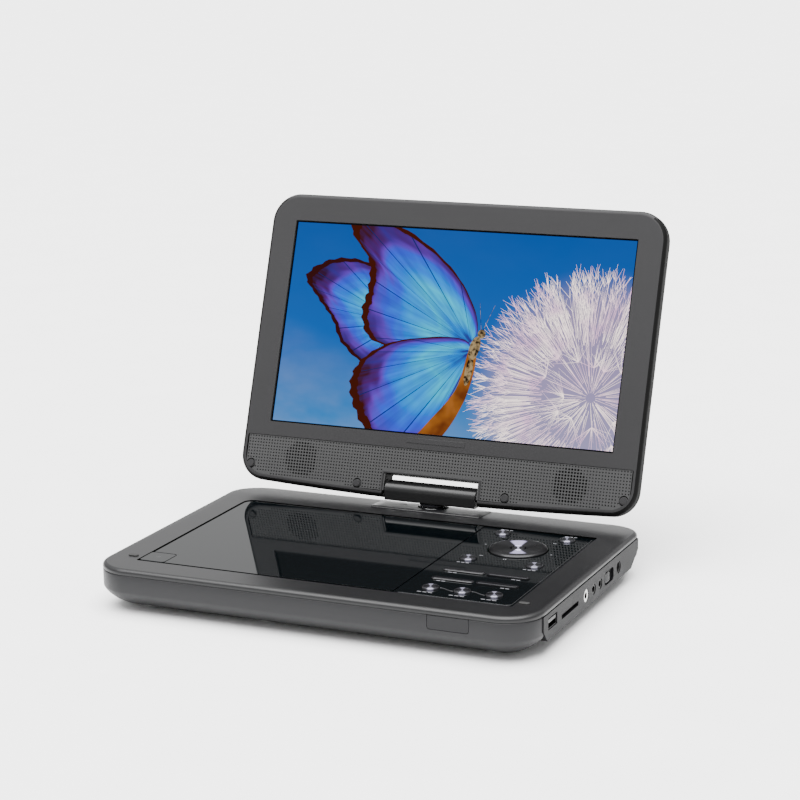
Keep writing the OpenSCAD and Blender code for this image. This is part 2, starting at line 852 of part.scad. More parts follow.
module row_key(i) {
    round_key(row_keys[i][0], row_keys[i][1]);
}

// ---- hinge ----

// cross-section of the hinge block, with Y across and Z up from the tilt axis
module block_section(inset) {
    w = lid_t - 2 * inset;
    h = block_h - 2 * inset;
    r_top = 4.6 - inset;
    r_low = 1.2;
    translate([-w / 2, -h / 2 + r_low]) square([w, h - r_low - r_top]);
    translate([-w / 2 + r_low, -h / 2]) square([w - 2 * r_low, h / 2]);
    translate([-w / 2 + r_top, 0]) square([w - 2 * r_top, h / 2]);
    for (s = [-1, 1]) {
        translate([s * (w / 2 - r_top), h / 2 - r_top]) circle(r_top);
        translate([s * (w / 2 - r_low), -h / 2 + r_low]) circle(r_low);
    }
}

module block_solid(inset, half_w) {
    translate([-half_w, axis_y, axis_z])
        rotate([90, 0, 90]) linear_extrude(2 * half_w) block_section(inset);
}

module hinge_block(y0, y1) {
    in_base() color(satin_grey) difference() {
        block_solid(0, block_w / 2);
        block_solid(1.5, block_w / 2 - 2);
        rod(-base_w, base_w, axis_y, axis_z, shaft_r + 0.02);
        post(0, axis_y, post_r + 0.1, 0, axis_z);
        block([-base_w, y0, 0], [base_w, y1, 2 * base_w]);
    }
}

module hinge_block_front() {
    hinge_block(axis_y - 0.02, base_w);
}

module hinge_block_rear() {
    hinge_block(-base_w, axis_y + 0.02);
}

module hinge_bracket() {
    in_base() color(steel) difference() {
        union() {
            block([-25, axis_y - 4.2, block_bottom + 1.7], [25, axis_y + 4.2, block_bottom + 3]);
            for (x = [-25, 22.6])
                block([x, axis_y - 4.2, block_bottom + 1.7], [x + 2.4, axis_y + 4.2, axis_z + 2.8]);
        }
        rod(-base_w, base_w, axis_y, axis_z, shaft_r + 0.01);
        post(0, axis_y, 3.02, 0, axis_z);
    }
}

module tilt_shafts() {
    in_base() color(steel)
        for (s = [-1, 1])
            rod(s > 0 ? 19 : -43, s > 0 ? 43 : -19, axis_y, axis_z, shaft_r);
}

module swivel_post() {
    in_base() color("#2c2c2e") difference() {
        union() {
            post(0, axis_y, post_r, deck_z - 9, block_bottom + 1.4);
            post(0, axis_y, flange_r, deck_z - 0.7, block_bottom - 0.3);
            post(0, axis_y, 3, block_bottom, block_bottom + 4);
        }
        post(0, axis_y, 1.8, 0, axis_z);
        difference() {
            post(0, axis_y, flange_r, clip_z, clip_z + 1);
            post(0, axis_y, clip_seat_r, 0, deck_z);
        }
    }
}

module swivel_clip() {
    in_base() color(steel) difference() {
        post(0, axis_y, clip_r, clip_z + 0.1, clip_z + 0.9);
        post(0, axis_y, clip_seat_r + running, 0, deck_z);
        block([-2.6, axis_y, 0], [2.6, axis_y + 10, deck_z]);
    }
}

// ---- lid ----

// lower edge of the lid: a shallow bow between its lower corners
function bow(x, inset) = inset - lid_belly * (1 - pow(x / (lid_w / 2 - lid_r_bottom), 2));

function arc(cx, cy, r, a0, a1) =
    [for (i = [0 : 8]) let (a = a0 + (a1 - a0) * i / 8) [cx + r * cos(a), cy + r * sin(a)]];

module lid_outline(inset) {
    half = lid_w / 2 - inset;
    rt = lid_r_top - inset;
    rb = lid_r_bottom - inset;
    top = lid_h - inset;
    run = half - rb;
    polygon(concat(
        arc(half - rt, top - rt, rt, 0, 90),
        arc(-half + rt, top - rt, rt, 90, 180),
        arc(-half + rb, inset + rb, rb, 180, 270),
        [for (i = [1 : 15]) let (x = run * (i / 8 - 1)) [x, bow(x, inset)]],
        arc(half - rb, inset + rb, rb, 270, 360)
    ));
}

module lid_slab(d0, d1, inset) {
    translate([0, d1, 0])
        rotate([90, 0, 0])
            linear_extrude(d1 - d0) lid_outline(inset);
}

module notch_block(grow, d0, d1) {
    block([-notch_w / 2 - grow, d0, -10], [notch_w / 2 + grow, d1, notch_v + grow]);
}

module shaft_clearance() {
    rod(-36, 36, lid_mid, axis_v, shaft_r + 0.5);
}

module lid_bezel() {
    edge = 1.1;
    in_lid() color(satin_grey) difference() {
        hull() {
            lid_slab(0, 0.01, edge);
            lid_slab(0.4, 0.41, 0.3);
            lid_slab(edge, lid_mid, 0);
        }
        difference() {
            lid_slab(lid_wall, lid_t, lid_wall);
            notch_block(lid_wall, 0, lid_t);
        }
        block([-picture_w / 2 - window_margin, -1, picture_v - window_margin],
              [picture_w / 2 + window_margin, lid_t, picture_v + picture_h + window_margin]);
        // thinner wall around the window, which the glass lies behind
        block([-116, 1.3, 33], [116, 4, 168]);
        notch_block(0, -1, lid_t + 1);
        shaft_clearance();
        for (p = lid_caps) translate([p[0], 0, p[1]]) rotate([90, 0, 0])
            cylinder(r = cap_r + 0.1, h = 1, center = true);
        block([-badge_w / 2 - 0.1, -1, badge_v - 0.1],
              [badge_w / 2 + 0.1, 0.4, badge_v + badge_h + 0.1]);
    }
}

module lid_back() {
    in_lid() color(satin_grey) difference() {
        hull() {
            lid_slab(lid_mid + 0.02, lid_mid + 0.03, 0);
            for (a = [18 : 18 : 90])
                lid_slab(lid_mid + lid_mid * sin(a) - 0.01, lid_mid + lid_mid * sin(a),
                         lid_back_w * (1 - cos(a)));
        }
        difference() {
            // hollow in three steps that follow the rounded back
            union() {
                lid_slab(lid_mid - 1, lid_mid + 2.2, lid_wall);
                lid_slab(lid_mid - 1, lid_mid + 3.5, lid_wall + 0.8);
                lid_slab(lid_mid - 1, lid_mid + 5, lid_wall + 3.2);
            }
            notch_block(lid_wall, 0, lid_t);
        }
        notch_block(0, -1, lid_t + 1);
        shaft_clearance();
    }
}

module screen_glass() {
    in_lid() color("#3f78b4")
        screen_block(0, glass_d, glass_d + glass_t);
}

// a block as wide and high as the screen's glass, grown by a given amount
module screen_block(grow, d0, d1) {
    block([glass_low[0] - grow, d0, glass_low[1] - grow],
          [glass_high[0] + grow, d1, glass_high[1] + grow]);
}

// thin steel tray that holds the glass on a ledge, with the backlight's space behind it
module screen_frame() {
    in_lid() color(steel) difference() {
        screen_block(0.4, glass_d, tray_d);
        screen_block(0.1, 0, glass_d + glass_t + 0.1);
        screen_block(-tray_ledge, 0, tray_d - tray_t);
    }
}

module lid_board() {
    in_lid() color(copper_green) union() {
        block([-62, 7.6, 60], [30, 9, 100]);
        block([-40, 8.9, 70], [-26, 10.4, 84]);
        block([-6, 8.9, 70], [14, 10.4, 80]);
    }
}

module speakers() {
    in_lid() color(soft_black)
        for (s = [-1, 1]) translate([s * speaker_x, 0, speaker_v])
            rotate([-90, 0, 0]) {
                translate([0, 0, lid_wall + 0.1]) cylinder(r = 11.6, h = 3.2);
                translate([0, 0, lid_wall + 3.2]) cylinder(r = 6.5, h = 3.8);
            }
}

// steel arms that join the tilt shafts to the lid
module lid_hinge_arms() {
    in_lid() color(steel)
        for (s = [-1, 1]) difference() {
            union() {
                rod(s > 0 ? 34 : -42, s > 0 ? 42 : -34, lid_mid, axis_v, shaft_r + 0.7);
                block([s > 0 ? 34 : -60, lid_mid + 1.4, 3], [s > 0 ? 60 : -34, lid_mid + 2.8, 24]);
            }
            rod(-lid_w, lid_w, lid_mid, axis_v, shaft_r + running);
        }
}

// the four screw caps and the blank badge on the screen side
module lid_trim() {
    in_lid() color("#38383a") {
        for (p = lid_caps) translate([p[0], 0.1, p[1]]) rotate([90, 0, 0])
            cylinder(r = cap_r, h = 0.7, center = true);
        block([-badge_w / 2, -0.2, badge_v], [badge_w / 2, 0.35, badge_v + badge_h]);
    }
}

bottom_case();
top_case();
port_panel();
disc_well();
control_panel();
remote_window();
rubber_feet();
case_screws();
deck_bumpers();
swivel_washer();
door_hinge_pins();
main_board();
key_board();
battery_pack();
drive_chassis();
isolator_grommets();
spindle_motor();
sled_motor();
guide_rods();
usb_socket();
card_socket();
av_socket();
headphone_sockets();
power_socket();
switch_body();
disc_door();
open_button();
power_switch();
turntable();
hub_balls();
pickup_sled();
objective_lens();
lead_screw();
direction_ring();
enter_key();
corner_key(0);  // corner_key_1
corner_key(1);  // corner_key_2
corner_key(2);  // corner_key_3
corner_key(3);  // corner_key_4
bar_key(bar_keys[0]);  // bar_key_1
bar_key(bar_keys[1]);  // bar_key_2
bar_key(bar_keys[2]);  // bar_key_3
bar_key(bar_keys[3]);  // bar_key_4
row_key(0);  // row_key_1
row_key(1);  // row_key_2
row_key(2);  // row_key_3
swivel_post();
swivel_clip();
hinge_bracket();
hinge_block_front();
hinge_block_rear();
tilt_shafts();
lid_bezel();
lid_back();
screen_glass();
screen_frame();
lid_hinge_arms();
speakers();
lid_board();
lid_trim();
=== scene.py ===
"""Portable disc player: pieces, materials, picture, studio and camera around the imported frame."""

import json
import math
import random

import bmesh
import bpy
from mathutils import Matrix, Vector
from mathutils.geometry import delaunay_2d_cdt


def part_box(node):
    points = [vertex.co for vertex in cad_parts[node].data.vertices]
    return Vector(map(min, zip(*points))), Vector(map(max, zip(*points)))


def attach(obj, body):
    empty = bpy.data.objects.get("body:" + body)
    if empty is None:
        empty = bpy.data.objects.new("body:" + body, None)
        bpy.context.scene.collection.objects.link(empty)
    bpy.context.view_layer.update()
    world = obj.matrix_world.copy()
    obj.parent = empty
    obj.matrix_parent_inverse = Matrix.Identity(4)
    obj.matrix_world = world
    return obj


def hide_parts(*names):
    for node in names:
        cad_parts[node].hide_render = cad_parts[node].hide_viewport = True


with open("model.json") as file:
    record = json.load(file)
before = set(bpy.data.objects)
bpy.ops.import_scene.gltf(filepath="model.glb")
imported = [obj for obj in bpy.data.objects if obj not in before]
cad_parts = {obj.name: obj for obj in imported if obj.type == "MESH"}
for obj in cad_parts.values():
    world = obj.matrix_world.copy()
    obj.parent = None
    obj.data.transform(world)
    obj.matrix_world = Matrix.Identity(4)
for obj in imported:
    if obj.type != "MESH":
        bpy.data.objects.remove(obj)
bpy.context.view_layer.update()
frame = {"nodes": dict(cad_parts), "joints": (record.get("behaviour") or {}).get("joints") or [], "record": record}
random.seed(7)

MM = 0.001
JOINTS = {joint["name"]: joint for joint in frame["joints"]}

SLOT_OF = {part["node"]: part["material_slot"] for part in frame["record"]["subparts"]}
BODIES = frame["record"]["behaviour"]["bodies"]
BODY_OF = {node: body for body, nodes in BODIES.items() for node in nodes}

# Places and sizes that the frame gives, in metres
SWIVEL = Vector(JOINTS["lid_swivel"]["pos_m"])
TILT = Vector(JOINTS["lid_tilt"]["pos_m"])
CASE_LOW, CASE_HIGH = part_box("bottom_case")
PANEL_LOW, PANEL_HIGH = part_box("control_panel")
PORT_LOW, PORT_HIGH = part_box("port_panel")
RING_LOW, RING_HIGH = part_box("direction_ring")
MID_Y = (CASE_LOW.y + CASE_HIGH.y) / 2
DECK_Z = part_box("disc_door")[1].z
SPLIT_Z = CASE_HIGH.z

# Shape of the base, as the frame's solids have it
CASE_R = 22 * MM
WALL = 2.2 * MM
BOWL_W, BOWL_H, BOWL_SOFT = 18 * MM, 12 * MM, 1.4
ROUND_W, ROUND_H = 2.8 * MM, 2 * MM
SLOPE_START = MID_Y + 62 * MM
REAR_DROP = 2 * MM
SLOPE_R = (CASE_HIGH.y - SLOPE_START) ** 2 / (2 * REAR_DROP)
OPEN_LEFT, OPEN_RIGHT = -112.4 * MM, 114.1 * MM
OPEN_FRONT, OPEN_REAR = MID_Y - 75.5 * MM, MID_Y + 58.6 * MM
OPEN_R = 6 * MM
SEAT_R, SEAT_DROP = 9.6 * MM, 1.6 * MM

# Shape of the lid, in its own coordinates: across, depth behind the screen side, height.
# The layers of the picture are depths in millimetres.
LEAN = math.radians(20)
LID_W, LID_H, LID_T = 259 * MM, 181 * MM, 13.6 * MM
LID_MID, AXIS_V = LID_T / 2, 2.7 * MM
LID_R_TOP, LID_R_BOTTOM = 18 * MM, 16 * MM
LID_BELLY, LID_BACK_W = 2.9 * MM, 10 * MM
NOTCH_HALF, NOTCH_V = 31 * MM, 11.6 * MM
PICTURE_W, PICTURE_H, PICTURE_V = 222.7 * MM, 125.3 * MM, 37.7 * MM
WINDOW_MARGIN = 1 * MM
SKY, FAR_WING, SEEDS, HIGH_WING, LOW_WING = 1.36, 1.34, 1.33, 1.32, 1.31
FOLD, BODY, LEGS = 1.3, 1.285, 1.283
SPEAKER_X, SPEAKER_V, SPEAKER_R = 88 * MM, 15.3 * MM, 10.9 * MM
FOOT_X, FOOT_Y = 92, 66
SCREWS = ((-104, -78), (-30, -78), (104, -78), (-104, 72), (-34, 72), (104, 72))
LID_TO_WORLD = (
    Matrix.Translation(TILT)
    @ Matrix.Rotation(-LEAN, 4, "X")
    @ Matrix.Translation((0, -LID_MID, -AXIS_V))
)


# ---- materials ----


class Nodes:
    """A material's node tree, with a short way to add and link nodes."""

    def __init__(self, name):
        self.material = bpy.data.materials.new(name)
        self.material.use_nodes = True
        self.tree = self.material.node_tree
        self.tree.nodes.clear()
        self.output = self.add("ShaderNodeOutputMaterial")

    def add(self, kind, inputs=None, **settings):
        node = self.tree.nodes.new(kind)
        for key, value in settings.items():
            setattr(node, key, value)
        for key, value in (inputs or {}).items():
            if isinstance(value, bpy.types.NodeSocket):
                self.tree.links.new(value, node.inputs[key])
            else:
                node.inputs[key].default_value = value
        return node

    def coords(self, scale=1.0):
        found = self.add("ShaderNodeTexCoord").outputs["Object"]
        return self.add("ShaderNodeMapping", {0: found, 3: (scale, scale, scale)}).outputs[0]

    def noise(self, scale, detail=3.0, vector=None):
        where = self.coords() if vector is None else vector
        inputs = {"Vector": where, "Scale": scale, "Detail": detail}
        return self.add("ShaderNodeTexNoise", inputs).outputs["Fac"]

    def mix(self, factor, first, second):
        inputs = {0: factor, 6: first, 7: (*second, 1)}
        return self.add("ShaderNodeMix", inputs, data_type="RGBA").outputs[2]

    def ramp(self, factor, *stops):
        node = self.add("ShaderNodeValToRGB", {0: factor})
        elements = node.color_ramp.elements
        while len(elements) < len(stops):
            elements.new(0.5)
        for element, (place, color) in zip(elements, stops):
            element.position = place
            element.color = (*color, 1)
        return node.outputs[0]

    def spread(self, factor, low, high):
        inputs = {0: factor, 1: 0.3, 2: 0.7, 3: low, 4: high}
        return self.add("ShaderNodeMapRange", inputs).outputs[0]

    def math(self, operation, *values):
        return self.add("ShaderNodeMath", dict(enumerate(values)), operation=operation).outputs[0]

    def surface(self, shader):
        self.tree.links.new(shader.outputs[0], self.output.inputs["Surface"])
        return self.material

    def glossy(self, color, roughness, metallic, shine, bump):
        inputs = {"Base Color": color, "Roughness": roughness, "Metallic": metallic}
        inputs.update({"Specular IOR Level": shine, "Normal": bump.outputs[0]})
        return self.surface(self.add("ShaderNodeBsdfPrincipled", inputs))


def grained(name, color, roughness, grain=900.0, depth=0.03, shine=0.5, metallic=0.0, tint=0.03):
    """Moulded or sheet material: slight tone changes, uneven gloss and a fine grain in the surface."""
    nodes = Nodes(name)
    cloud = nodes.noise(18.0)
    dark = tuple(c * (1 - tint) for c in color)
    light = tuple(min(1.0, c * (1 + tint)) for c in color)
    fine = nodes.noise(grain * 3, 2.0)
    bump = nodes.add("ShaderNodeBump", {"Strength": depth, "Distance": 0.0002, "Height": fine})
    color = nodes.ramp(cloud, (0.35, dark), (0.65, light))
    gloss = nodes.spread(nodes.noise(60.0), roughness * 0.96, roughness * 1.04)
    return nodes.glossy(color, gloss, metallic, shine, bump)


def spun_painted_highlight(name, centre, dark, middle, light, roughness, reach=1.0):
    """Spun finish with fine grooves, whose reflection is painted into the colour as two light wedges of painted
    highlight, as on the underside of a disc.
    The wedges end at a distance from the centre, their reach."""
    wedge_turn, grooves_per_metre, dim = math.radians(20), 16000.0, 0.09
    nodes = Nodes(name)
    position = nodes.add("ShaderNodeTexCoord").outputs["Object"]
    offset = nodes.add("ShaderNodeVectorMath", {0: position, 1: centre}, operation="SUBTRACT").outputs[0]
    split = nodes.add("ShaderNodeSeparateXYZ", {0: offset})
    angle = nodes.math("ARCTAN2", split.outputs[1], split.outputs[0])
    fan = nodes.math("ABSOLUTE", nodes.math("SINE", nodes.math("SUBTRACT", angle, wedge_turn)))
    radius = nodes.add("ShaderNodeVectorMath", {0: offset}, operation="LENGTH").outputs["Value"]
    beyond = nodes.math("GREATER_THAN", radius, reach)
    fan = nodes.math("MINIMUM", fan, nodes.math("SUBTRACT", 1.0, nodes.math("MULTIPLY", beyond, dim)))
    grooves = nodes.math("SINE", nodes.math("MULTIPLY", radius, grooves_per_metre))
    bump = nodes.add("ShaderNodeBump", {"Strength": 0.06, "Distance": 0.0001, "Height": grooves})
    # Painted highlight: dark sides, grey between and light wedges, all painted in the base colour.
    color = nodes.ramp(fan, (0.3, dark), (0.7, middle), (0.91, middle), (0.96, light))
    gloss = nodes.spread(nodes.noise(90.0), roughness * 0.9, roughness * 1.1)
    return nodes.glossy(color, gloss, 0.4, 0.3, bump)


def glowing(nodes, color, strength=1.0):
    """A lit surface of the picture."""
    return nodes.surface(nodes.add("ShaderNodeEmission", {"Color": color, "Strength": strength}))


# Colour, roughness and other settings of each plain finish
PLAIN_FINISHES = {
    "satin_grey": ((0.013, 0.013, 0.014), 0.42, dict(grain=2600, depth=0.12, shine=0.22)),
    "lid_grey": ((0.0175, 0.0172, 0.018), 0.5, dict(grain=2600, depth=0.14, shine=0.16)),
    # Black of the lid's back cover, also used as painted shade on the front frame's rounded edge.
    "lid_black_and_painted_shade": ((0.004, 0.004, 0.004), 0.55, dict(grain=2600, depth=0.1, shine=0.05)),
    # Painted shade: a darker copy of the case grey for the port panel on the side.
    "port_grey_painted_shade": ((0.0055, 0.0055, 0.0062), 0.45, dict(grain=2600, depth=0.1, shine=0.07)),
    "hinge_grey": ((0.006, 0.006, 0.0063), 0.33, dict(depth=0.02, shine=0.26)),
    "rim_gloss": ((0.0025, 0.0025, 0.003), 0.3, dict(grain=1500, shine=0.62)),
    "rim_edge": ((0.006, 0.006, 0.0065), 0.4, dict(grain=1500, depth=0.05, shine=0.3)),
    "gloss_black": ((0.0006, 0.0012, 0.0016), 0.04, dict(grain=200, depth=0.0, shine=0.44)),
    "key_black": ((0.004, 0.004, 0.005), 0.14, dict(depth=0.0)),
    "smoked_plastic": ((0.0085, 0.0085, 0.0095), 0.3, dict(depth=0.02, shine=0.2)),
    "soft_black": ((0.008, 0.008, 0.008), 0.45, dict(depth=0.1, shine=0.3)),
    "black_rubber": ((0.006, 0.006, 0.006), 0.75, dict(grain=1800, depth=0.3)),
    "bright_steel": ((0.6, 0.6, 0.62), 0.22, dict(metallic=1.0)),
    "sheet_steel": ((0.48, 0.49, 0.51), 0.38, dict(metallic=1.0, depth=0.08)),
    "circuit_board": ((0.01, 0.11, 0.05), 0.35, dict(tint=0.3)),
    "cell_wrap": ((0.03, 0.07, 0.2), 0.4, {}),
    "cast_grey": ((0.3, 0.31, 0.32), 0.5, dict(metallic=0.8, depth=0.2)),
    "white_plastic": ((0.72, 0.72, 0.7), 0.4, {}),
    "grey_plastic": ((0.012, 0.012, 0.013), 0.45, dict(depth=0.1)),
    "lens_glass": ((0.18, 0.35, 0.6), 0.05, {}),
    "screen": ((0.001, 0.001, 0.0015), 0.1, dict(depth=0.0, shine=0.02)),
    "legend": ((0.12, 0.12, 0.13), 0.5, dict(tint=0.1)),
    # Silver for raised lines and marks, also used as painted highlight along edges.
    "silver_print_and_painted_highlight": ((0.055, 0.055, 0.058), 0.3, dict(metallic=0.7)),
    "dark_metal": ((0.003, 0.003, 0.0035), 0.35, dict(metallic=0.3, shine=0.3)),
    # Black used as painted shade in holes, bores and gaps.
    "painted_shade_black": ((0.001, 0.001, 0.001), 0.8, dict(shine=0.0)),
    # Dark bottoms of the grille's dimples: painted shade.
    "dimple_painted_shade": ((0.0015, 0.0015, 0.0015), 0.6, dict(shine=0.05)),
    "band_grey": ((0.032, 0.032, 0.0325), 0.5, dict(grain=2600, depth=0.14, shine=0.2)),
}
MATERIALS = {
    name: grained(name, color, roughness, **options)
    for name, (color, roughness, options) in PLAIN_FINISHES.items()
}
# Painted highlight: the light wedges of the direction ring's reflection are painted in its colour.
MATERIALS["disc_finish"] = spun_painted_highlight(
    "disc_finish",
    ((RING_LOW + RING_HIGH) / 2)[:],
    (0.002, 0.002, 0.0025),
    (0.009, 0.009, 0.01),
    (0.3, 0.28, 0.42),
    0.3,
    13 * MM,
)


# ---- mesh helpers ----


def add_object(name, data):
    obj = bpy.data.objects.new(name, data)
    bpy.context.scene.collection.objects.link(obj)
    return obj


def shade(mesh, sharp):
    """Smooth shading, with edges above an angle in degrees kept sharp."""
    mesh.polygons.foreach_set("use_smooth", [True] * len(mesh.polygons))
    mesh.set_sharp_from_angle(angle=math.radians(sharp))


def piece(name, bm, material, body, replaced=(), matrix=None, sharp=35):
    """Turns a bmesh into a piece that rides on a body."""
    bmesh.ops.recalc_face_normals(bm, faces=bm.faces)
    if matrix is not None:
        bm.transform(matrix)
    mesh = bpy.data.meshes.new(name)
    bm.to_mesh(mesh)
    bm.free()
    names = material if isinstance(material, (list, tuple)) else [material]
    for item in names:
        mesh.materials.append(MATERIALS[item] if isinstance(item, str) else item)
    shade(mesh, sharp)
    obj = add_object(name, mesh)
    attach(obj, body)
    if replaced:
        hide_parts(*replaced)
    return obj


def add_modifier(obj, kind, **settings):
    modifier = obj.modifiers.new(kind.lower(), kind)
    for key, value in settings.items():
        setattr(modifier, key, value)
    return modifier


def bake_modifiers(obj):
    """Replaces an object's mesh by the result of its modifiers."""
    bpy.context.view_layer.update()
    evaluated = obj.evaluated_get(bpy.context.evaluated_depsgraph_get())
    mesh = bpy.data.meshes.new_from_object(evaluated)
    obj.modifiers.clear()
    obj.data = mesh
    return obj


def cut(obj, cutter_bm):
    """Cuts a closed shape out of a piece."""
    mesh = bpy.data.meshes.new("cutter")
    bmesh.ops.recalc_face_normals(cutter_bm, faces=cutter_bm.faces)
    cutter_bm.to_mesh(mesh)
    cutter_bm.free()
    cutter = add_object("cutter", mesh)
    add_modifier(obj, "BOOLEAN", operation="DIFFERENCE", solver="EXACT", object=cutter)
    bake_modifiers(obj)
    bpy.data.objects.remove(cutter)
    shade(obj.data, 35)
    return obj


def polish(node, bevel, material=None):
    """A copy of a CAD node with its edges softened by some millimetres, which replaces it."""
    bm = bmesh.new()
    bm.from_mesh(frame["nodes"][node].data)
    bmesh.ops.remove_doubles(bm, verts=bm.verts, dist=1e-6)
    bmesh.ops.dissolve_limit(
        bm, angle_limit=math.radians(0.3), verts=bm.verts, edges=bm.edges, use_dissolve_boundaries=False
    )
    obj = piece(f"{node}_fine", bm, material or SLOT_OF[node], BODY_OF[node], [node])
    limit = {"limit_method": "ANGLE", "angle_limit": math.radians(40), "use_clamp_overlap": True}
    add_modifier(obj, "BEVEL", width=bevel * MM, segments=3, **limit)
    return keep_flat(bake_modifiers(obj))


def sharpen(obj, test):
    """Marks the edges sharp that pass a test, which also gets the area of the whole piece."""
    bm = bmesh.new()
    bm.from_mesh(obj.data)
    area = sum(face.calc_area() for face in bm.faces)
    for edge in bm.edges:
        if test(edge, area):
            edge.smooth = False
    bm.to_mesh(obj.data)
    bm.free()
    return obj


def keep_flat(obj):
    """Keeps an object's large flat faces flat where they meet small rounded ones."""
    large_share, bend = 0.06, 0.003

    def at_large_face(edge, area):
        large = any(face.calc_area() > large_share * area for face in edge.link_faces)
        return large and edge.calc_face_angle(0) > bend

    return sharpen(obj, at_large_face)


def crisp(obj, direction):
    """Marks edges sharp where a flat area that faces a direction ends."""
    flat, turned = 0.99999, 0.9995

    def at_rim(edge, _):
        facing = [face.normal.dot(direction) for face in edge.link_faces]
        return len(facing) == 2 and max(facing) > flat and min(facing) < turned

    return sharpen(obj, at_rim)


def ring_faces(bm, first, second):
    count = len(first)
    for i in range(count):
        j = (i + 1) % count
        bm.faces.new((first[i], first[j], second[j], second[i]))


def loft(bm, loops, closed=False, capped=False):
    """Joins loops of points, each of the same length, by strips of quads."""
    rings = [[bm.verts.new(point) for point in loop] for loop in loops]
    for first, second in zip(rings, rings[1:]):
        ring_faces(bm, first, second)
    if closed:
        ring_faces(bm, rings[-1], rings[0])
    if capped:
        bm.faces.new(rings[0])
        bm.faces.new(rings[-1])
    return rings


def arc(cx, cy, r, start, end, steps):
    angles = [math.radians(start + (end - start) * i / steps) for i in range(steps + 1)]
    return [(cx + r * math.cos(a), cy + r * math.sin(a)) for a in angles]


def rounded_rect(x0, y0, x1, y1, radii, steps, inset=0.0):
    """Outline of a rectangle, moved in by an inset, anticlockwise from its rear right corner.
    The radii are one number, or one for each corner."""
    rr, rl, fl, fr = radii if isinstance(radii, tuple) else (radii,) * 4
    x0, y0, x1, y1 = x0 + inset, y0 + inset, x1 - inset, y1 - inset
    return (
        arc(x1 - rr, y1 - rr, rr, 0, 90, steps)
        + arc(x0 + rl, y1 - rl, rl, 90, 180, steps)
        + arc(x0 + fl, y0 + fl, fl, 180, 270, steps)
        + arc(x1 - fr, y0 + fr, fr, 270, 360, steps)
    )


def revolve(bm, centre, profile, steps=64, closed=False):
    """Turns a profile of (radius, height) about an upright axis. A closed profile leaves a hole."""
    rings = []
    for radius, height in profile:
        rings.append([(x, y, height) for x, y in arc(*centre[:2], radius, 0, 360, steps)[:-1]])
    loft(bm, rings, closed=closed, capped=not closed)


def prism(bm, outline, low, high, place):
    """Extrudes an outline between two depths; place turns (u, v, depth) into a point."""
    loft(bm, [[place(u, v, w) for u, v in outline] for w in (low, high)], capped=True)


def upright(u, v, w):
    return (u, v, w)


def sideways(u, v, w):
    return (w, u, v)


def paint(bm, start, look):
    """Gives all faces from a count on the material of an index."""
    bm.faces.ensure_lookup_table()
    for n in range(start, len(bm.faces)):
        bm.faces[n].material_index = look


def tube(bm, path, radius, steps=8):
    """A round bar along a path of points that lie in a level plane."""
    rings = []
    up = Vector((0, 0, 1))
    angles = [2 * math.pi * k / steps for k in range(steps)]
    for i, point in enumerate(path):
        before, after = path[max(i - 1, 0)], path[min(i + 1, len(path) - 1)]
        side = (Vector(after) - Vector(before)).normalized().cross(up).normalized()
        rings.append([Vector(point) + radius * (math.cos(a) * side + math.sin(a) * up) for a in angles])
    loft(bm, rings, capped=True)


def inside(x, y, loop):
    """Whether a point lies inside a closed outline."""
    odd = False
    for i, a in enumerate(loop):
        b = loop[(i + 1) % len(loop)]
        if (a[1] > y) != (b[1] > y) and x < (b[0] - a[0]) * (y - a[1]) / (b[1] - a[1]) + a[0]:
            odd = not odd
    return odd


def sheet_faces(bm, outer, inner_loops, extra, height):
    """Fills the area between an outline and its holes, on a surface of a given height.
    Returns the loops of new vertices, outline first."""
    loops = [outer, *inner_loops]
    points, edges = [], []
    for loop in loops:
        start = len(points)
        points += [Vector(p) for p in loop]
        edges += [(start + i, start + (i + 1) % len(loop)) for i in range(len(loop))]
    fixed = len(points)
    points += [Vector(p) for p in extra]
    verts, _, faces, origins, _, _ = delaunay_2d_cdt(points, edges, [], 0, 1e-7)
    made = [bm.verts.new((p.x, p.y, height(p.x, p.y))) for p in verts]

    for face in faces:
        x, y = sum((verts[i] for i in face), Vector((0, 0))) / len(face)
        if inside(x, y, outer) and not any(inside(x, y, hole) for hole in inner_loops):
            bm.faces.new([made[i] for i in face])
    back = {}
    for new, olds in enumerate(origins):
        for old in olds:
            if old < fixed:
                back[old] = made[new]
    result, start = [], 0
    for loop in loops:
        result.append([back[start + i] for i in range(len(loop))])
        start += len(loop)
    return result


# ---- base ----


def case_loop(inset, z):
    outline = rounded_rect(*CASE_LOW[:2], *CASE_HIGH[:2], CASE_R - inset, 14, inset)
    return [(x, y, z) for x, y in outline]


def deck_height(y):
    past = max(0.0, y - SLOPE_START)
    return DECK_Z - (SLOPE_R - math.sqrt(SLOPE_R * SLOPE_R - past * past))


def port_outline(grow):
    front, rear, low = PORT_LOW.y - grow, PORT_HIGH.y + grow, PORT_LOW.z - grow
    return [
        (front, SPLIT_Z + 2 * MM),
        (front, low + 6.3 * MM),
        (PORT_LOW.y + 5.5 * MM, low),
        (PORT_HIGH.y - 12.7 * MM, low),
        (rear, low + 8.3 * MM),
        (rear, SPLIT_Z + 2 * MM),
    ]


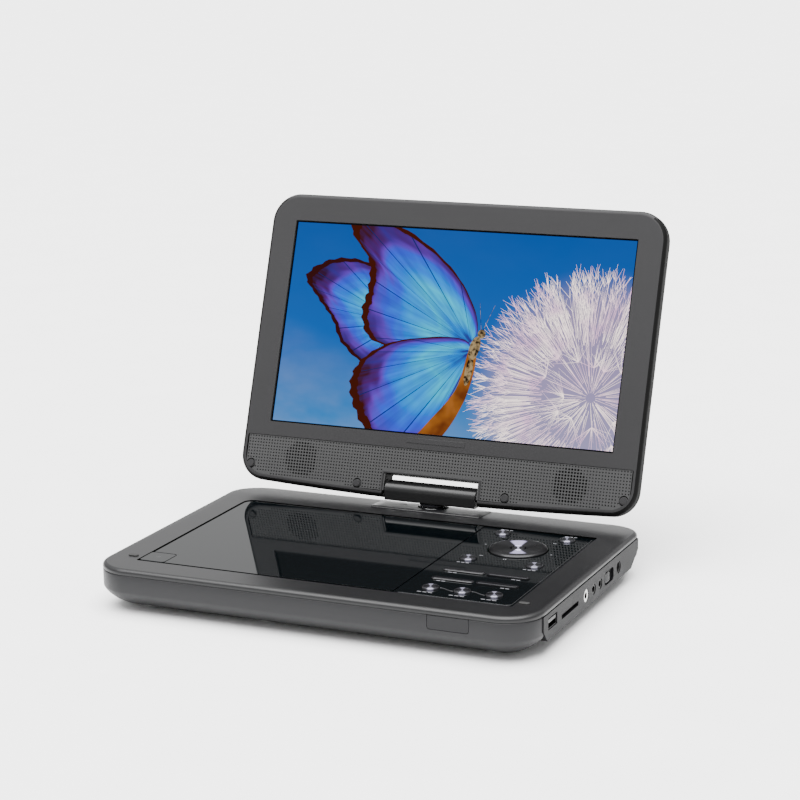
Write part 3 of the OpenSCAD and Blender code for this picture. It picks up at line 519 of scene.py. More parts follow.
def lower_shell():
    """Lower case: upright sides that curve under in a wide bowl."""

    def bowl(inset, low_z):
        loops = []
        for step in range(0, 19):
            a = math.radians(step * 5)
            down = BOWL_H * math.sin(a) ** BOWL_SOFT
            in_by = BOWL_W * (1 - max(0.0, math.cos(a)) ** BOWL_SOFT)
            loops.append(case_loop(inset + in_by, low_z + BOWL_H - down))
        return loops

    bm = bmesh.new()
    outer = [
        case_loop(0.55 * MM, SPLIT_Z),
        case_loop(0.2 * MM, SPLIT_Z - 0.25 * MM),
        case_loop(0, SPLIT_Z - 0.7 * MM),
        *bowl(0, CASE_LOW.z),
    ]
    inner = [case_loop(WALL, SPLIT_Z), *bowl(WALL, CASE_LOW.z + WALL)]
    loft(bm, list(reversed(inner)) + outer, capped=True)
    shell = piece("lower_shell", bm, "satin_grey", "base", ["bottom_case"])
    pocket = bmesh.new()
    prism(pocket, port_outline(0.15 * MM), PORT_LOW.x - 0.5 * MM, PORT_HIGH.x + 2 * MM, sideways)
    cut(shell, pocket)
    low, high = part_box("remote_window")
    gap = 0.2 * MM
    window = bmesh.new()
    radii = (0.3 * MM, 0.3 * MM, 1.6 * MM, 1.6 * MM)
    outline = rounded_rect(low.x - gap, low.z - gap, high.x + gap, high.z + 2 * MM, radii, 5)
    prism(window, outline, low.y - 1 * MM, high.y + 0.5 * MM, lambda u, v, w: (u, w, v))
    cut(shell, window)
    holes = [(x, y, 7.1, 0.8, 40) for x in (-FOOT_X, FOOT_X) for y in (-FOOT_Y, FOOT_Y)]
    holes += [(x, y, 3, 2.1, 28) for x, y in SCREWS]
    below = bmesh.new()
    for x, y, radius, deep, steps in holes:
        profile = [(radius * MM, 0), (radius * MM, CASE_LOW.z + deep * MM)]
        revolve(below, (x * MM, MID_Y + y * MM), profile, steps)
    vents, first, pitch, width = 9, -84, 6, 2.4 * MM
    for n in range(vents):
        x = (first + pitch * n) * MM
        vent = rounded_rect(x, MID_Y + 40 * MM, x + width, MID_Y + 62 * MM, 1.1 * MM, 5)
        prism(below, vent, 0, CASE_LOW.z + 1.5 * MM, upright)
    return cut(shell, below)


def upper_shell():
    """Upper case: rounded rim, deck with its opening, and a rear strip that curves down."""
    bm = bmesh.new()
    sides = OPEN_LEFT, OPEN_FRONT, OPEN_RIGHT, OPEN_REAR
    opening = rounded_rect(*sides, (0.8 * MM, OPEN_R, 0.8 * MM, 0.8 * MM), 24)
    lip = rounded_rect(*sides, (1 * MM, OPEN_R + 0.25 * MM, 1 * MM, 1 * MM), 24, -0.25 * MM)
    grid = [(i, k) for i in range(51) for k in range(9)]
    slope = [(-125 * MM + 5 * MM * i, SLOPE_START + 3.6 * MM * k) for i, k in grid]
    slope = [p for p in slope if abs(p[0]) < 108 * MM or p[1] < MID_Y + 74 * MM]
    outer_xy = [(x, y) for x, y, _ in case_loop(ROUND_W, 0)]
    top = sheet_faces(bm, outer_xy, [lip], slope, lambda x, y: deck_height(y))
    under = sheet_faces(bm, outer_xy, [opening], [], lambda x, y: deck_height(y) - WALL)
    walls = [
        case_loop(WALL, SPLIT_Z),
        case_loop(0.5 * MM, SPLIT_Z),
        case_loop(0.15 * MM, SPLIT_Z + 0.25 * MM),
        case_loop(0, SPLIT_Z + 0.6 * MM),
    ]
    for step in range(8):
        a = math.radians(step * 90 / 8)
        loop = []
        for x, y, _ in case_loop(ROUND_W * (1 - math.cos(a)), 0):
            high = deck_height(y)
            rise = min(ROUND_H, high - SPLIT_Z - 0.7 * MM)
            loop.append((x, y, high - rise * (1 - math.sin(a))))
        walls.append(loop)
    start = len(bm.faces)
    rings = loft(bm, walls)
    paint(bm, start, 1)
    ring_faces(bm, rings[-1], top[0])
    ring_faces(bm, rings[0], under[0])
    # Painted shade: the inner edge of the opening is black, for the gap round the door.
    low_lip = [bm.verts.new((x, y, deck_height(y) - 0.25 * MM)) for x, y in opening]
    start = len(bm.faces)
    ring_faces(bm, top[1], low_lip)
    ring_faces(bm, low_lip, under[1])
    paint(bm, start, 2)
    materials = ["rim_gloss", "rim_edge", "painted_shade_black"]
    shell = piece("upper_shell", bm, materials, "base", ["top_case"], sharp=40)
    return crisp(cut(shell, seat_cutter()), Vector((0, 0, 1)))


def seat_cutter():
    seat = bmesh.new()
    floor = DECK_Z - SEAT_DROP
    revolve(seat, SWIVEL, [(SEAT_R, floor), (SEAT_R, DECK_Z + 2 * MM)], 64)
    return seat


def hinge_pad():
    """Slightly raised pad of the deck under the hinge."""
    bm = bmesh.new()
    half, front, rear, rise = 36 * MM, MID_Y + 72 * MM, CASE_HIGH.y - 3.4 * MM, 0.5 * MM
    rows = [(-30 * MM + 6 * MM * i, front + 3 * MM * k) for i in range(11) for k in range(1, 6)]
    low, high = (rounded_rect(-half, front, half, rear, 1.5 * MM, 5, inset * MM) for inset in (0, 0.4))
    top = sheet_faces(bm, high, [], rows, lambda x, y: deck_height(y) + rise)
    base = sheet_faces(bm, low, [], rows, lambda x, y: deck_height(y) - 0.4 * MM)
    middle = [bm.verts.new((x, y, deck_height(y) + rise - 0.25 * MM)) for x, y in low]
    ring_faces(bm, top[0], middle)
    ring_faces(bm, middle, base[0])
    pad = piece("hinge_pad", bm, "rim_gloss", "base", sharp=40)
    return cut(pad, seat_cutter())


def turret():
    """Round drum that turns in the deck's seat, with a ribbed collar under the hinge block."""
    bm = bmesh.new()
    block_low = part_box("hinge_block_front")[0].z
    low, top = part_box("swivel_post")[0].z, block_low - 0.3 * MM
    seat = DECK_Z - 0.7 * MM
    waist, rib, steps = 7, 0.8, 96
    profile = [(1.8, low, 0), (5.5, low, 0), (5.5, seat, 0), (8.6, seat, 0), (8.6, seat, 0.9)]
    profile += [(8.2, seat, 1.2), (waist, seat, 1.3), (waist, top, -0.9), (8.4, top, -0.8)]
    profile += [(8.4, top, -0.1), (8.1, top, 0), (5.5, top, 0), (5.5, top, 1.6), (3, top, 1.6)]
    profile += [(3, top, 4), (1.8, top, 4)]
    loops = []
    for radius, level, rise in profile:
        loop = []
        for i in range(steps):
            angle = 2 * math.pi * i / steps
            r = (radius - rib * (radius == waist and i % 6 < 3)) * MM
            x, y = SWIVEL.x + r * math.cos(angle), SWIVEL.y + r * math.sin(angle)
            loop.append((x, y, level + rise * MM))
        loops.append(loop)
    loft(bm, loops, closed=True)
    return piece("turret_drum", bm, "key_black", "turret", ["swivel_post"], sharp=30)


# ---- keys and marks ----


def dome_profile(radius, low, edge_z, crown):
    points = [(0.001 * MM, low), (radius, low), (radius, edge_z - 0.35 * MM)]
    for step in range(1, 7):
        a = math.radians(step * 15)
        points.append((radius - 0.9 * MM * (1 - math.cos(a)), edge_z - 0.35 * MM + crown * math.sin(a)))
    points.append((radius * 0.5, edge_z - 0.42 * MM + crown))
    points.append((0.001 * MM, edge_z - 0.5 * MM + crown))
    return points


def round_key(node, crown):
    low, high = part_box(node)
    centre = (low + high) / 2
    radius = (high.x - low.x) / 2
    # Painted highlight: the light colour of the two wedges on each key cap, brighter on the enter key.
    painted_highlight_tint = (0.34, 0.33, 0.44) if node == "enter_key" else (0.16, 0.155, 0.2)
    dark, middle = (0.006, 0.006, 0.007), (0.02, 0.02, 0.023)
    finish = spun_painted_highlight(f"{node}_finish", centre[:], dark, middle, painted_highlight_tint, 0.2)
    bm = bmesh.new()
    revolve(bm, centre, dome_profile(radius, PANEL_HIGH.z - 2.2 * MM, DECK_Z + 0.1 * MM, crown), 48)
    return piece(f"{node}_cap", bm, finish, BODY_OF[node], [node], sharp=50)


def direction_pad():
    """Ring of the direction pad: a chamfered outer edge and a shallow dish towards the centre key."""
    centre = (RING_LOW + RING_HIGH) / 2
    r = (RING_HIGH.x - RING_LOW.x) / 2
    top = DECK_Z + 1.2 * MM
    hole = 4.6 * MM
    low = PANEL_HIGH.z - 2 * MM
    profile = [
        (hole, low),
        (r, low),
        (r, top - 1.1 * MM),
        (r - 0.25 * MM, top - 0.75 * MM),
        (r - 1 * MM, top - 0.3 * MM),
        (r - 2.2 * MM, top),
        (r - 3.2 * MM, top - 0.02 * MM),
        (r - 6 * MM, top - 0.3 * MM),
        (hole + 1 * MM, top - 0.55 * MM),
        (hole + 0.15 * MM, top - 0.6 * MM),
        (hole, top - 0.75 * MM),
    ]
    bm = bmesh.new()
    revolve(bm, centre, profile, 95, closed=True)
    # The ring's light wedges are painted highlight, from its material.
    return piece("direction_pad", bm, "disc_finish", "direction_ring", ["direction_ring"], sharp=30)


def bar_key(node):
    """Long key with a raised bright line along its front edge, which also stands in as painted highlight on that
    edge.
    """
    low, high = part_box(node)
    cap = polish(node, 0.45, "key_black")
    y, z = low.y + 0.9 * MM, high.z + 0.08 * MM
    path = [(low.x + 1.6 * MM + (high.x - low.x - 3.6 * MM) * i / 12, y, z) for i in range(13)]
    end = Vector(path[-1])
    path += [end + Vector((0.9 * MM, 0.5 * MM, 0)), end + Vector((1.3 * MM, 1.4 * MM, 0))]
    bm = bmesh.new()
    tube(bm, path, 0.14 * MM)
    piece(f"{node}_line", bm, "silver_print_and_painted_highlight", BODY_OF[node])
    return cap


def key_wave(keys):
    """Thin raised line that winds between the three keys of the front row."""
    centres = [sum(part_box(key), Vector()) / 2 for key in keys]
    bm = bmesh.new()
    z = PANEL_HIGH.z + 0.05 * MM
    for first, second in zip(centres, centres[1:]):
        path = []
        for i in range(25):
            t = i / 24
            x = first.x + 4.9 * MM + (second.x - first.x - 9.8 * MM) * t
            y = first.y + 1.6 * MM * math.cos(math.pi * t)
            path.append((x, y, z))
        tube(bm, path, 0.25 * MM)
    return piece("key_wave", bm, "silver_print_and_painted_highlight", "base")


def mark_rows():
    """Small generic marks beside the keys: bars and triangles."""
    z = PANEL_HIGH.z + 0.03 * MM
    bm = bmesh.new()

    def shape(points):
        loft(bm, [[(x, y, z - h * MM) for x, y in points] for h in (0.02, -0.01)], capped=True)

    def bar(x, y, w, h):
        shape([(x, y), (x + w, y), (x + w, y + h), (x, y + h)])

    def triangle(x, y, size, way):
        shape([(x, y - size / 2), (x + way * size, y), (x, y + size / 2)][:: int(way)])

    def bars(x, y, count, step, w):
        for i in range(count):
            bar(x + step * MM * i, y, w * MM, 0.8 * MM)

    centre = (RING_LOW + RING_HIGH) / 2
    r = (RING_HIGH.x - RING_LOW.x) / 2 + 3.2 * MM
    for way in (-1, 1):
        x = centre.x + way * r * 0.72
        y = centre.y + r * 0.9 * way
        triangle(x, y, 1.1 * MM, way)
        triangle(x + way * 1.1 * MM, y, 1.1 * MM, way)
        triangle(centre.x + way * (r + 0.6 * MM), centre.y - way * 3 * MM, 1.2 * MM, way)
    for x in (centre.x - 1.2 * MM, centre.x):
        bar(x, centre.y - r - 0.9 * MM, 0.6 * MM, 1.3 * MM)
    for number in range(1, 5):
        low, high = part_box(f"corner_key_{number}")
        above = centre.y < low.y
        y = high.y + 2.2 * MM if above else low.y - 3.4 * MM
        bars(low.x + 1 * MM, y, 3, 2.7, 1.9)
    for number in range(1, 4):
        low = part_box(f"row_key_{number}")[0]
        bars(low.x + 0.3 * MM, low.y - 3.6 * MM, 3, 3.2, 2.4)
    for number in range(1, 5):
        low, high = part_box(f"bar_key_{number}")
        x = low.x + 4 * MM if number % 2 else high.x - 9 * MM
        bars(x, low.y - 1.7 * MM, 2, 2.9, 2.2)
    return piece("key_marks", bm, "legend", "base")


def panel_line():
    """Bright line along the right and front edges of the control panel: a painted highlight of the panel's edge.
    """
    z = PANEL_HIGH.z + 0.05 * MM
    x, y = OPEN_RIGHT - 1.4 * MM, OPEN_FRONT + 1.6 * MM
    path = [(x, OPEN_REAR - 4 * MM, z), (x, y + 3 * MM, z)]
    path += [(a, b, z) for a, b in arc(x - 3 * MM, y + 3 * MM, 3 * MM, 0, -90, 8)]
    path.append((PANEL_LOW.x + 3 * MM, y, z))
    bm = bmesh.new()
    tube(bm, path, 0.16 * MM)
    return piece("panel_line", bm, "silver_print_and_painted_highlight", "base")


def turn_mark():
    """Small curved double arrow beside the turret, which shows that the lid turns."""
    bm = bmesh.new()
    z = deck_height(SWIVEL.y) + 0.52 * MM
    path = [(x, y, z) for x, y in arc(SWIVEL.x - 19 * MM, SWIVEL.y - 5 * MM, 4 * MM, 140, 40, 10)]
    tube(bm, path, 0.22 * MM)
    for end, way in ((path[0], -1), (path[-1], 1)):
        points = [(0, 1.5), (way * 2, -1.6), (-way * 1.2, -0.6)][::way]
        low = [(end[0] + a * MM, end[1] + b * MM, end[2] - 0.03 * MM) for a, b in points]
        high = [(a, b, c + 0.06 * MM) for a, b, c in low]
        loft(bm, [low, high], capped=True)
    return piece("turn_mark", bm, "soft_black", "base")


def push_corner():
    """Button that opens the door, with rounded corners, and the door's matching corner."""
    low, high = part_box("open_button")
    r = 2.4 * MM
    bm = bmesh.new()
    loops = []
    for inset, drop in ((0, 3), (0, 0.35), (0.1, 0.1), (0.35, 0)):
        outline = rounded_rect(*low[:2], *high[:2], r - inset * MM, 6, inset * MM)
        loops.append([(x, y, high.z - drop * MM) for x, y in outline])
    loft(bm, loops, capped=True)
    stem = [(3 * MM, low.z), (3 * MM, high.z - 2.9 * MM)]
    revolve(bm, (low.x + 8 * MM, low.y + 8 * MM), stem, 24)
    button = piece("open_button_fine", bm, "gloss_black", "open_button", ["open_button"])
    keep_flat(button)
    gap = 0.3 * MM
    x, y = high.x + gap, high.y + gap
    bm = bmesh.new()
    curve = arc(x - r, y - r, r, 0, 90, 6)
    corner = [(x + 0.4 * MM, y - r), *curve, (x - r, y + 0.4 * MM), (x + 0.4 * MM, y + 0.4 * MM)]
    prism(bm, corner, DECK_Z - 2 * MM, DECK_Z - 0.02 * MM, upright)
    return piece("disc_door_corner", bm, "gloss_black", "disc_door")


def open_mark():
    """Triangle over a bar on the button that opens the disc door."""
    low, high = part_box("open_button")
    x, y, z = (low.x + high.x) / 2, (low.y + high.y) / 2, high.z
    bm = bmesh.new()
    for shape in (
        [(-1.8, 0.2), (1.8, 0.2), (0, 2)],
        [(-1.8, -1.2), (1.8, -1.2), (1.8, -0.5), (-1.8, -0.5)],
    ):
        loops = [[(x + a * MM, y + b * MM, z + c * MM) for a, b in shape] for c in (-0.02, 0.015)]
        loft(bm, loops, capped=True)
    return piece("open_mark", bm, "silver_print_and_painted_highlight", "open_button")


def dark_inside(obj, test):
    """Gives the faces that pass a test a black look, as painted shade inside a hollow."""
    obj.data.materials.append(MATERIALS["painted_shade_black"])
    for polygon in obj.data.polygons:
        if test(polygon.center):
            polygon.material_index = 1
    return obj


def sockets():
    """Side sockets, with the insides of their bores and of the USB socket painted black as shade."""
    for node, bevel in (("av_socket", 0.25), ("headphone_sockets", 0.2), ("power_socket", 0.2)):
        low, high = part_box(node)
        reach = high.x - 13 * MM
        obj = polish(node, bevel)
        mounts = [mount for mount in frame["record"]["mounts"] if mount["kind"] == "bore"]
        bores = [mount["pos_m"][1:] for mount in mounts]
        bores.append(((low.y + high.y) / 2, low.z + 5.3 * MM))
        dark_inside(
            obj,
            lambda c: reach < c.x < high.x - 0.3 * MM
            and any(math.hypot(c.y - y, c.z - z) < 1.95 * MM for y, z in bores),
        )
    low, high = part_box("usb_socket")
    obj = polish("usb_socket", 0.1, "dark_metal")
    dark_inside(
        obj,
        lambda c: low.y + 0.2 * MM < c.y < high.y - 0.2 * MM
        and c.x < high.x - 0.2 * MM
        and c.z > high.z - 5.9 * MM,
    )


# ---- lid ----


def lower_edge(run, notch, inset):
    """The lid's bowed lower edge: its height at the ends, then its points on the left and the right
    of the hinge's notch."""

    def bow(x):
        return inset - LID_BELLY * (1 - (x / (LID_W / 2 - LID_R_BOTTOM)) ** 2)

    left = [(x, bow(x)) for x in (-run + (run - notch) * i / 8 for i in range(1, 9))]
    return bow(run), left, [(-x, v) for x, v in reversed(left)]


def lid_outline(inset, notch_grow=0.0):
    """Outline of the lid with its notch for the hinge, as points (across, height)."""
    half, top = LID_W / 2 - inset, LID_H - inset
    rt, rb = LID_R_TOP - inset, LID_R_BOTTOM - inset
    run = half - rb
    notch, notch_top = NOTCH_HALF + notch_grow, NOTCH_V + notch_grow
    _, left, right = lower_edge(run, notch, inset)
    soft = 0.8 * MM
    roof = arc(-notch + soft, notch_top - soft, soft, 180, 90, 3)
    roof += arc(notch - soft, notch_top - soft, soft, 90, 0, 3)
    return (
        arc(half - rt, top - rt, rt, 0, 90, 14)
        + arc(-half + rt, top - rt, rt, 90, 180, 14)
        + arc(-half + rb, inset + rb, rb, 180, 270, 12)
        + left
        + roof
        + right
        + arc(half - rb, inset + rb, rb, 270, 360, 12)
    )


def lid_loop(inset, depth, notch_grow=0.0):
    return [(x, depth, v) for x, v in lid_outline(inset, notch_grow)]


def band_outline(inset):
    """Edge of the perforated band below the screen, which leaves room for the screw caps."""
    side, rb = LID_W / 2 - 3.4 * MM - inset, 13 * MM
    top = 28 * MM - inset
    notch = NOTCH_HALF + 1.2 * MM + inset
    roof = NOTCH_V + 1.2 * MM + inset
    run = side - rb
    floor, left, right = lower_edge(run, notch, 3.4 * MM + inset)
    return (
        arc(side - 1 * MM, top - 1 * MM, 1 * MM, 0, 90, 3)
        + arc(-side + 1 * MM, top - 1 * MM, 1 * MM, 90, 180, 3)
        + arc(-side + rb, floor + rb, rb, 180, 270, 8)
        + left
        + [(-notch, roof), (notch, roof)]
        + right
        + arc(side - rb, floor + rb, rb, 270, 360, 8)
    )


def lid_front():
    """Front frame of the lid: rounded edge, screen window and a sunken band for the grille."""
    bm = bmesh.new()
    soft = 2.6 * MM
    sides = -PICTURE_W / 2, PICTURE_V, PICTURE_W / 2, PICTURE_V + PICTURE_H
    window = rounded_rect(*sides, 0.6 * MM, 4, -WINDOW_MARGIN)
    flat = lid_outline(soft, 0.5 * MM)
    band = band_outline(0)
    sheet_loops = sheet_faces(bm, flat, [window, band], [], lambda x, v: 0.0)
    for vertex in bm.verts:
        x, v, _ = vertex.co
        vertex.co = (x, 0.0, v)
    rounds = []
    for step in range(1, 7):
        a = math.radians(step * 15)
        short = 1 - math.sin(a)
        rounds.append(lid_loop(soft * short, soft * (1 - math.cos(a)), 0.5 * MM * short))
    rounds.append(lid_loop(0, LID_MID - 0.35 * MM))
    rounds.append(lid_loop(0.25 * MM, LID_MID))
    rounds.append(lid_loop(1.8 * MM, LID_MID, 1.8 * MM))
    rings = loft(bm, rounds)
    ring_faces(bm, sheet_loops[0], rings[0])
    glass_depth = 1.35 * MM
    inner = [bm.verts.new((x, glass_depth, v)) for x, v in window]
    ring_faces(bm, sheet_loops[1], inner)
    sunk = [bm.verts.new((x, 0.45 * MM, v)) for x, v in band]
    ring_faces(bm, sheet_loops[2], sunk)
    back = [bm.verts.new((x, 1.8 * MM, v)) for x, v in window]
    ring_faces(bm, inner, back)
    # Painted shade: faces of the rounded edge that turn away from the front get the dark look, starting further
    # back along the top edge.
    for face in bm.faces:
        middle = face.calc_center_median()
        outside = abs(middle.x) > PICTURE_W / 2 + 3 * MM or not 36 * MM < middle.z < LID_H - 16 * MM
        turned = 1.2 * MM if middle.z > LID_H - 4 * MM else 0.15 * MM
        if middle.y > turned and outside and not inside(middle.x, middle.z, band):
            face.material_index = 1
    looks = ["lid_grey", "lid_black_and_painted_shade"]
    front = piece("lid_front", bm, looks, "lid", ["lid_bezel"], matrix=LID_TO_WORLD, sharp=32)
    return crisp(front, LID_TO_WORLD.to_3x3() @ Vector((0, -1, 0)))


LID_CAPS = [(side * x * MM, v * MM) for side in (-1, 1) for x, v in ((122, 9.6), (48.4, 4))]


def grille():
    """Perforated band: small blind dimples, and deeper holes in front of the speakers that stand for through
    holes; their bottoms are painted dark as shade, and dark rings of painted shade edge the screw caps.
    """
    bm = bmesh.new()
    pitch = 1.9 * MM
    columns, rows = 132, 14
    left, low = -columns * pitch / 2, 1.2 * MM
    limit, under = band_outline(0.9 * MM), band_outline(-1 * MM)
    front = 0.4 * MM
    octagon = [math.radians(-135 + 45 * n) for n in range(8)]
    corners = {}

    def corner(i, k):
        if (i, k) not in corners:
            corners[i, k] = bm.verts.new((left + i * pitch, front, low + k * pitch))
        return corners[i, k]

    def clear(x, v):
        far = all(math.hypot(x - cx, v - cv) > 3.4 * MM for cx, cv in LID_CAPS)
        return far and inside(x, v, limit)

    for i in range(columns):
        for k in range(rows):
            square = [corner(i, k), corner(i + 1, k), corner(i + 1, k + 1), corner(i, k + 1)]
            x, v = left + (i + 0.5) * pitch, low + (k + 0.5) * pitch
            if not clear(x, v):
                if inside(x, v, under):
                    bm.faces.new(square)
                continue
            speaker = math.hypot(abs(x) - SPEAKER_X, v - SPEAKER_V) < SPEAKER_R
            radius = (0.69 if speaker else 0.47) * MM
            deep = (1.5 if speaker else 0.5) * MM
            loops = [
                [(x + r * math.cos(t), depth, v + r * math.sin(t)) for t in octagon]
                for depth, r in ((front, radius), (front + deep, radius * 0.9))
            ]
            rim, bottom = loft(bm, loops)
            for n in range(8):
                near = [square[n // 2]]
                if n % 2:
                    near.append(square[(n // 2 + 1) % 4])
                bm.faces.new((*near, rim[(n + 1) % 8], rim[n]))
            # Painted shade: speaker holes get black bottoms, dimples dark ones.
            bm.faces.new(bottom).material_index = 1 if speaker else 2
    # Painted shade: a black ring round each screw cap, for the groove round it.
    start = len(bm.faces)
    for cx, cv in LID_CAPS:
        ring = [(x, front - 0.05 * MM, v) for x, v in arc(cx, cv, 2.75 * MM, 0, 360, 32)]
        tube(bm, ring, 0.3 * MM)
    paint(bm, start, 1)
    loose = [vertex for vertex in bm.verts if not vertex.link_faces]
    bmesh.ops.delete(bm, geom=loose, context="VERTS")
    looks = ["band_grey", "painted_shade_black", "dimple_painted_shade"]
    return piece("speaker_band", bm, looks, "lid", matrix=LID_TO_WORLD)


def lid_back():
    """Back cover of the lid: sides that round over into a flat back."""
    bm = bmesh.new()
    loops = [
        lid_loop(1.8 * MM, LID_MID + 0.05 * MM, 1.8 * MM),
        lid_loop(0.25 * MM, LID_MID + 0.05 * MM),
        lid_loop(0, LID_MID + 0.35 * MM),
    ]
    for step in range(1, 13):
        a = math.radians(step * 7.5)
        loops.append(lid_loop(LID_BACK_W * (1 - math.cos(a)), LID_MID + LID_MID * math.sin(a)))
    rings = loft(bm, loops)
    last = lid_outline(LID_BACK_W)
    made = sheet_faces(bm, last, [], [], lambda x, v: 0.0)[0]
    for vertex in made:
        x, v, _ = vertex.co
        vertex.co = (x, LID_T, v)
    bmesh.ops.remove_doubles(bm, verts=made + rings[-1], dist=1e-6)
    return piece("lid_cover", bm, "lid_black_and_painted_shade", "lid", ["lid_back"], matrix=LID_TO_WORLD, sharp=32)


# ---- picture ----


def clip_to_picture(bm):
    """Keeps only what lies inside the picture's edges."""
    limits = (
        ((-PICTURE_W / 2, 0, 0), (-1, 0, 0)),
        ((PICTURE_W / 2, 0, 0), (1, 0, 0)),
        ((0, 0, PICTURE_V), (0, 0, -1)),
        ((0, 0, PICTURE_V + PICTURE_H), (0, 0, 1)),
    )
    for point, normal in limits:
        geometry = bm.verts[:] + bm.edges[:] + bm.faces[:]
        bmesh.ops.bisect_plane(bm, geom=geometry, plane_co=point, plane_no=normal, clear_outer=True)


def picture_piece(name, bm, material):
    clip_to_picture(bm)
    obj = piece(name, bm, material, "lid", matrix=LID_TO_WORLD)
    obj.visible_glossy = False
    obj.visible_diffuse = False
    return obj


def uv_face(bm, layer, verts, uvs):
    for loop, uv in zip(bm.faces.new(verts).loops, uvs):
        loop[layer].uv = uv


def sky():
    """Blue sky with soft cloud, and a pale glow round the seed head."""
    nodes = Nodes("picture_sky")
    uv = nodes.add("ShaderNodeUVMap").outputs[0]
    split = nodes.add("ShaderNodeSeparateXYZ", {0: uv})
    across, up = split.outputs[0], split.outputs[1]
    tones = (0.0, (0.01, 0.23, 0.66)), (0.4, (0.0, 0.125, 0.54)), (1.0, (0.0, 0.09, 0.43))
    blue = nodes.ramp(up, *tones)
    cloud = nodes.noise(3.2, 4.0, uv)
    far = nodes.math("ADD", nodes.math("MULTIPLY", up, 1.5), nodes.math("MULTIPLY", across, 0.8))
    low = nodes.math("SUBTRACT", 0.85, far)
    amount = nodes.math("MULTIPLY", nodes.spread(cloud, 0.0, 1.0), nodes.math("MAXIMUM", low, 0.03))
    soft = nodes.math("MULTIPLY", amount, 0.7)
    mixed = nodes.mix(soft, blue, (0.45, 0.52, 0.78))
    dx = nodes.math("MULTIPLY", nodes.math("SUBTRACT", across, 0.93), 1.75)
    dy = nodes.math("SUBTRACT", up, 0.22)
    squares = [nodes.math("MULTIPLY", value, value) for value in (dx, dy)]
    far = nodes.math("SQRT", nodes.math("ADD", *squares))
    inputs = {0: far, 1: 0.66, 2: 0.4, 3: 0.0, 4: 0.65}
    glow = nodes.add("ShaderNodeMapRange", inputs, interpolation_type="SMOOTHSTEP")
    pale = nodes.mix(glow.outputs[0], mixed, (0.62, 0.44, 0.6))
    bm = bmesh.new()
    layer = bm.loops.layers.uv.new("UVMap")
    x, low_v, high_v = PICTURE_W / 2, PICTURE_V, PICTURE_V + PICTURE_H
    corners = ((-x, low_v), (x, low_v), (x, high_v), (-x, high_v))
    verts = [bm.verts.new((a, SKY * MM, b)) for a, b in corners]
    uv_face(bm, layer, verts, ((0, 0), (1, 0), (1, 1), (0, 1)))
    return picture_piece("picture_sky", bm, glowing(nodes, pale))


def flat_face(bm, points, depth):
    bm.faces.new([bm.verts.new((x * MM, depth * MM, y * MM)) for x, y in points])


def wing_material(name, warm):
    """Blue wing that turns violet outwards, with dark veins and a brown margin."""
    nodes = Nodes(name)
    uv = nodes.add("ShaderNodeUVMap").outputs[0]
    split = nodes.add("ShaderNodeSeparateXYZ", {0: uv})
    around, out = split.outputs[0], split.outputs[1]
    stretched = nodes.add("ShaderNodeMapping", {0: uv, 3: (26.0, 1.6, 1.0)}).outputs[0]
    streak = nodes.noise(1.0, 3.0, stretched)
    patch = nodes.noise(4.0, 2.0, uv)
    place = nodes.math("ADD", out, nodes.math("MULTIPLY", nodes.math("SUBTRACT", patch, 0.5), 0.55))
    color = nodes.ramp(
        place,
        (0.0, (0.03, 0.015, 0.15)),
        (0.12, (0.0, 0.26, 0.85)),
        (0.34, (0.0, 0.68, 1.0)),
        (0.58, (0.0, 0.3, 1.0)),
        (0.72, (0.04, 0.1, 0.9)),
        (0.8, (0.14, 0.04, 0.5)),
        (0.86, (0.08, 0.015, 0.16)),
        (0.93, warm),
    )
    shaded = nodes.mix(nodes.spread(streak, 0.55, 0.0), color, (0.02, 0.03, 0.3))
    wave = nodes.math("ABSOLUTE", nodes.math("SINE", nodes.math("MULTIPLY", around, 28.0)))
    vein_mask = nodes.math("GREATER_THAN", 0.36, nodes.math("POWER", wave, 0.35))
    lined = nodes.mix(vein_mask, shaded, (0.01, 0.015, 0.12))
    edge = nodes.math("GREATER_THAN", nodes.math("ADD", out, nodes.math("MULTIPLY", streak, 0.05)), 0.965)
    rim = nodes.mix(edge, lined, warm)
    return glowing(nodes, rim, 1.25)


def smooth_outline(points, steps=8):
    """Closed curve through points."""
    result = []
    count = len(points)
    for i in range(count):
        p0, p1, p2, p3 = (Vector(points[(i + k - 1) % count]) for k in range(4))
        for s in range(steps):
            t = s / steps
            bend = (2 * p0 - 5 * p1 + 4 * p2 - p3) * t * t + (3 * p1 - p0 - 3 * p2 + p3) * t**3
            result.append(0.5 * (2 * p1 + (p2 - p0) * t + bend))
    return result


def wing(name, root, points, depth, material):
    """A wing as a fan from its root to a curved outline."""
    bm = bmesh.new()
    layer = bm.loops.layers.uv.new("UVMap")
    outline = smooth_outline(points)
    centre = Vector(root)
    rings = 10
    count = len(outline)
    table = []
    for r in range(1, rings + 1):
        row = []
        for n, point in enumerate(outline):
            ripple = 1 + (0.012 * math.sin(n * 1.9) if r == rings else 0)
            p = centre + (point - centre) * (r / rings) * ripple
            row.append(bm.verts.new((p.x * MM, depth * MM, p.y * MM)))
        table.append(row)
    hub = bm.verts.new((centre.x * MM, depth * MM, centre.y * MM))
    for n in range(count):
        m = (n + 1) % count
        u, w = n / count, (n + 1) / count
        triangle = (hub, table[0][n], table[0][m])
        uv_face(bm, layer, triangle, ((u, 0), (u, 1 / rings), (w, 1 / rings)))
        for r, (near, far) in enumerate(zip(table, table[1:])):
            low, high = (r + 1) / rings, (r + 2) / rings
            square = (near[n], far[n], far[m], near[m])
            uv_face(bm, layer, square, ((u, low), (u, high), (w, high), (w, low)))
    return picture_piece(name, bm, material)


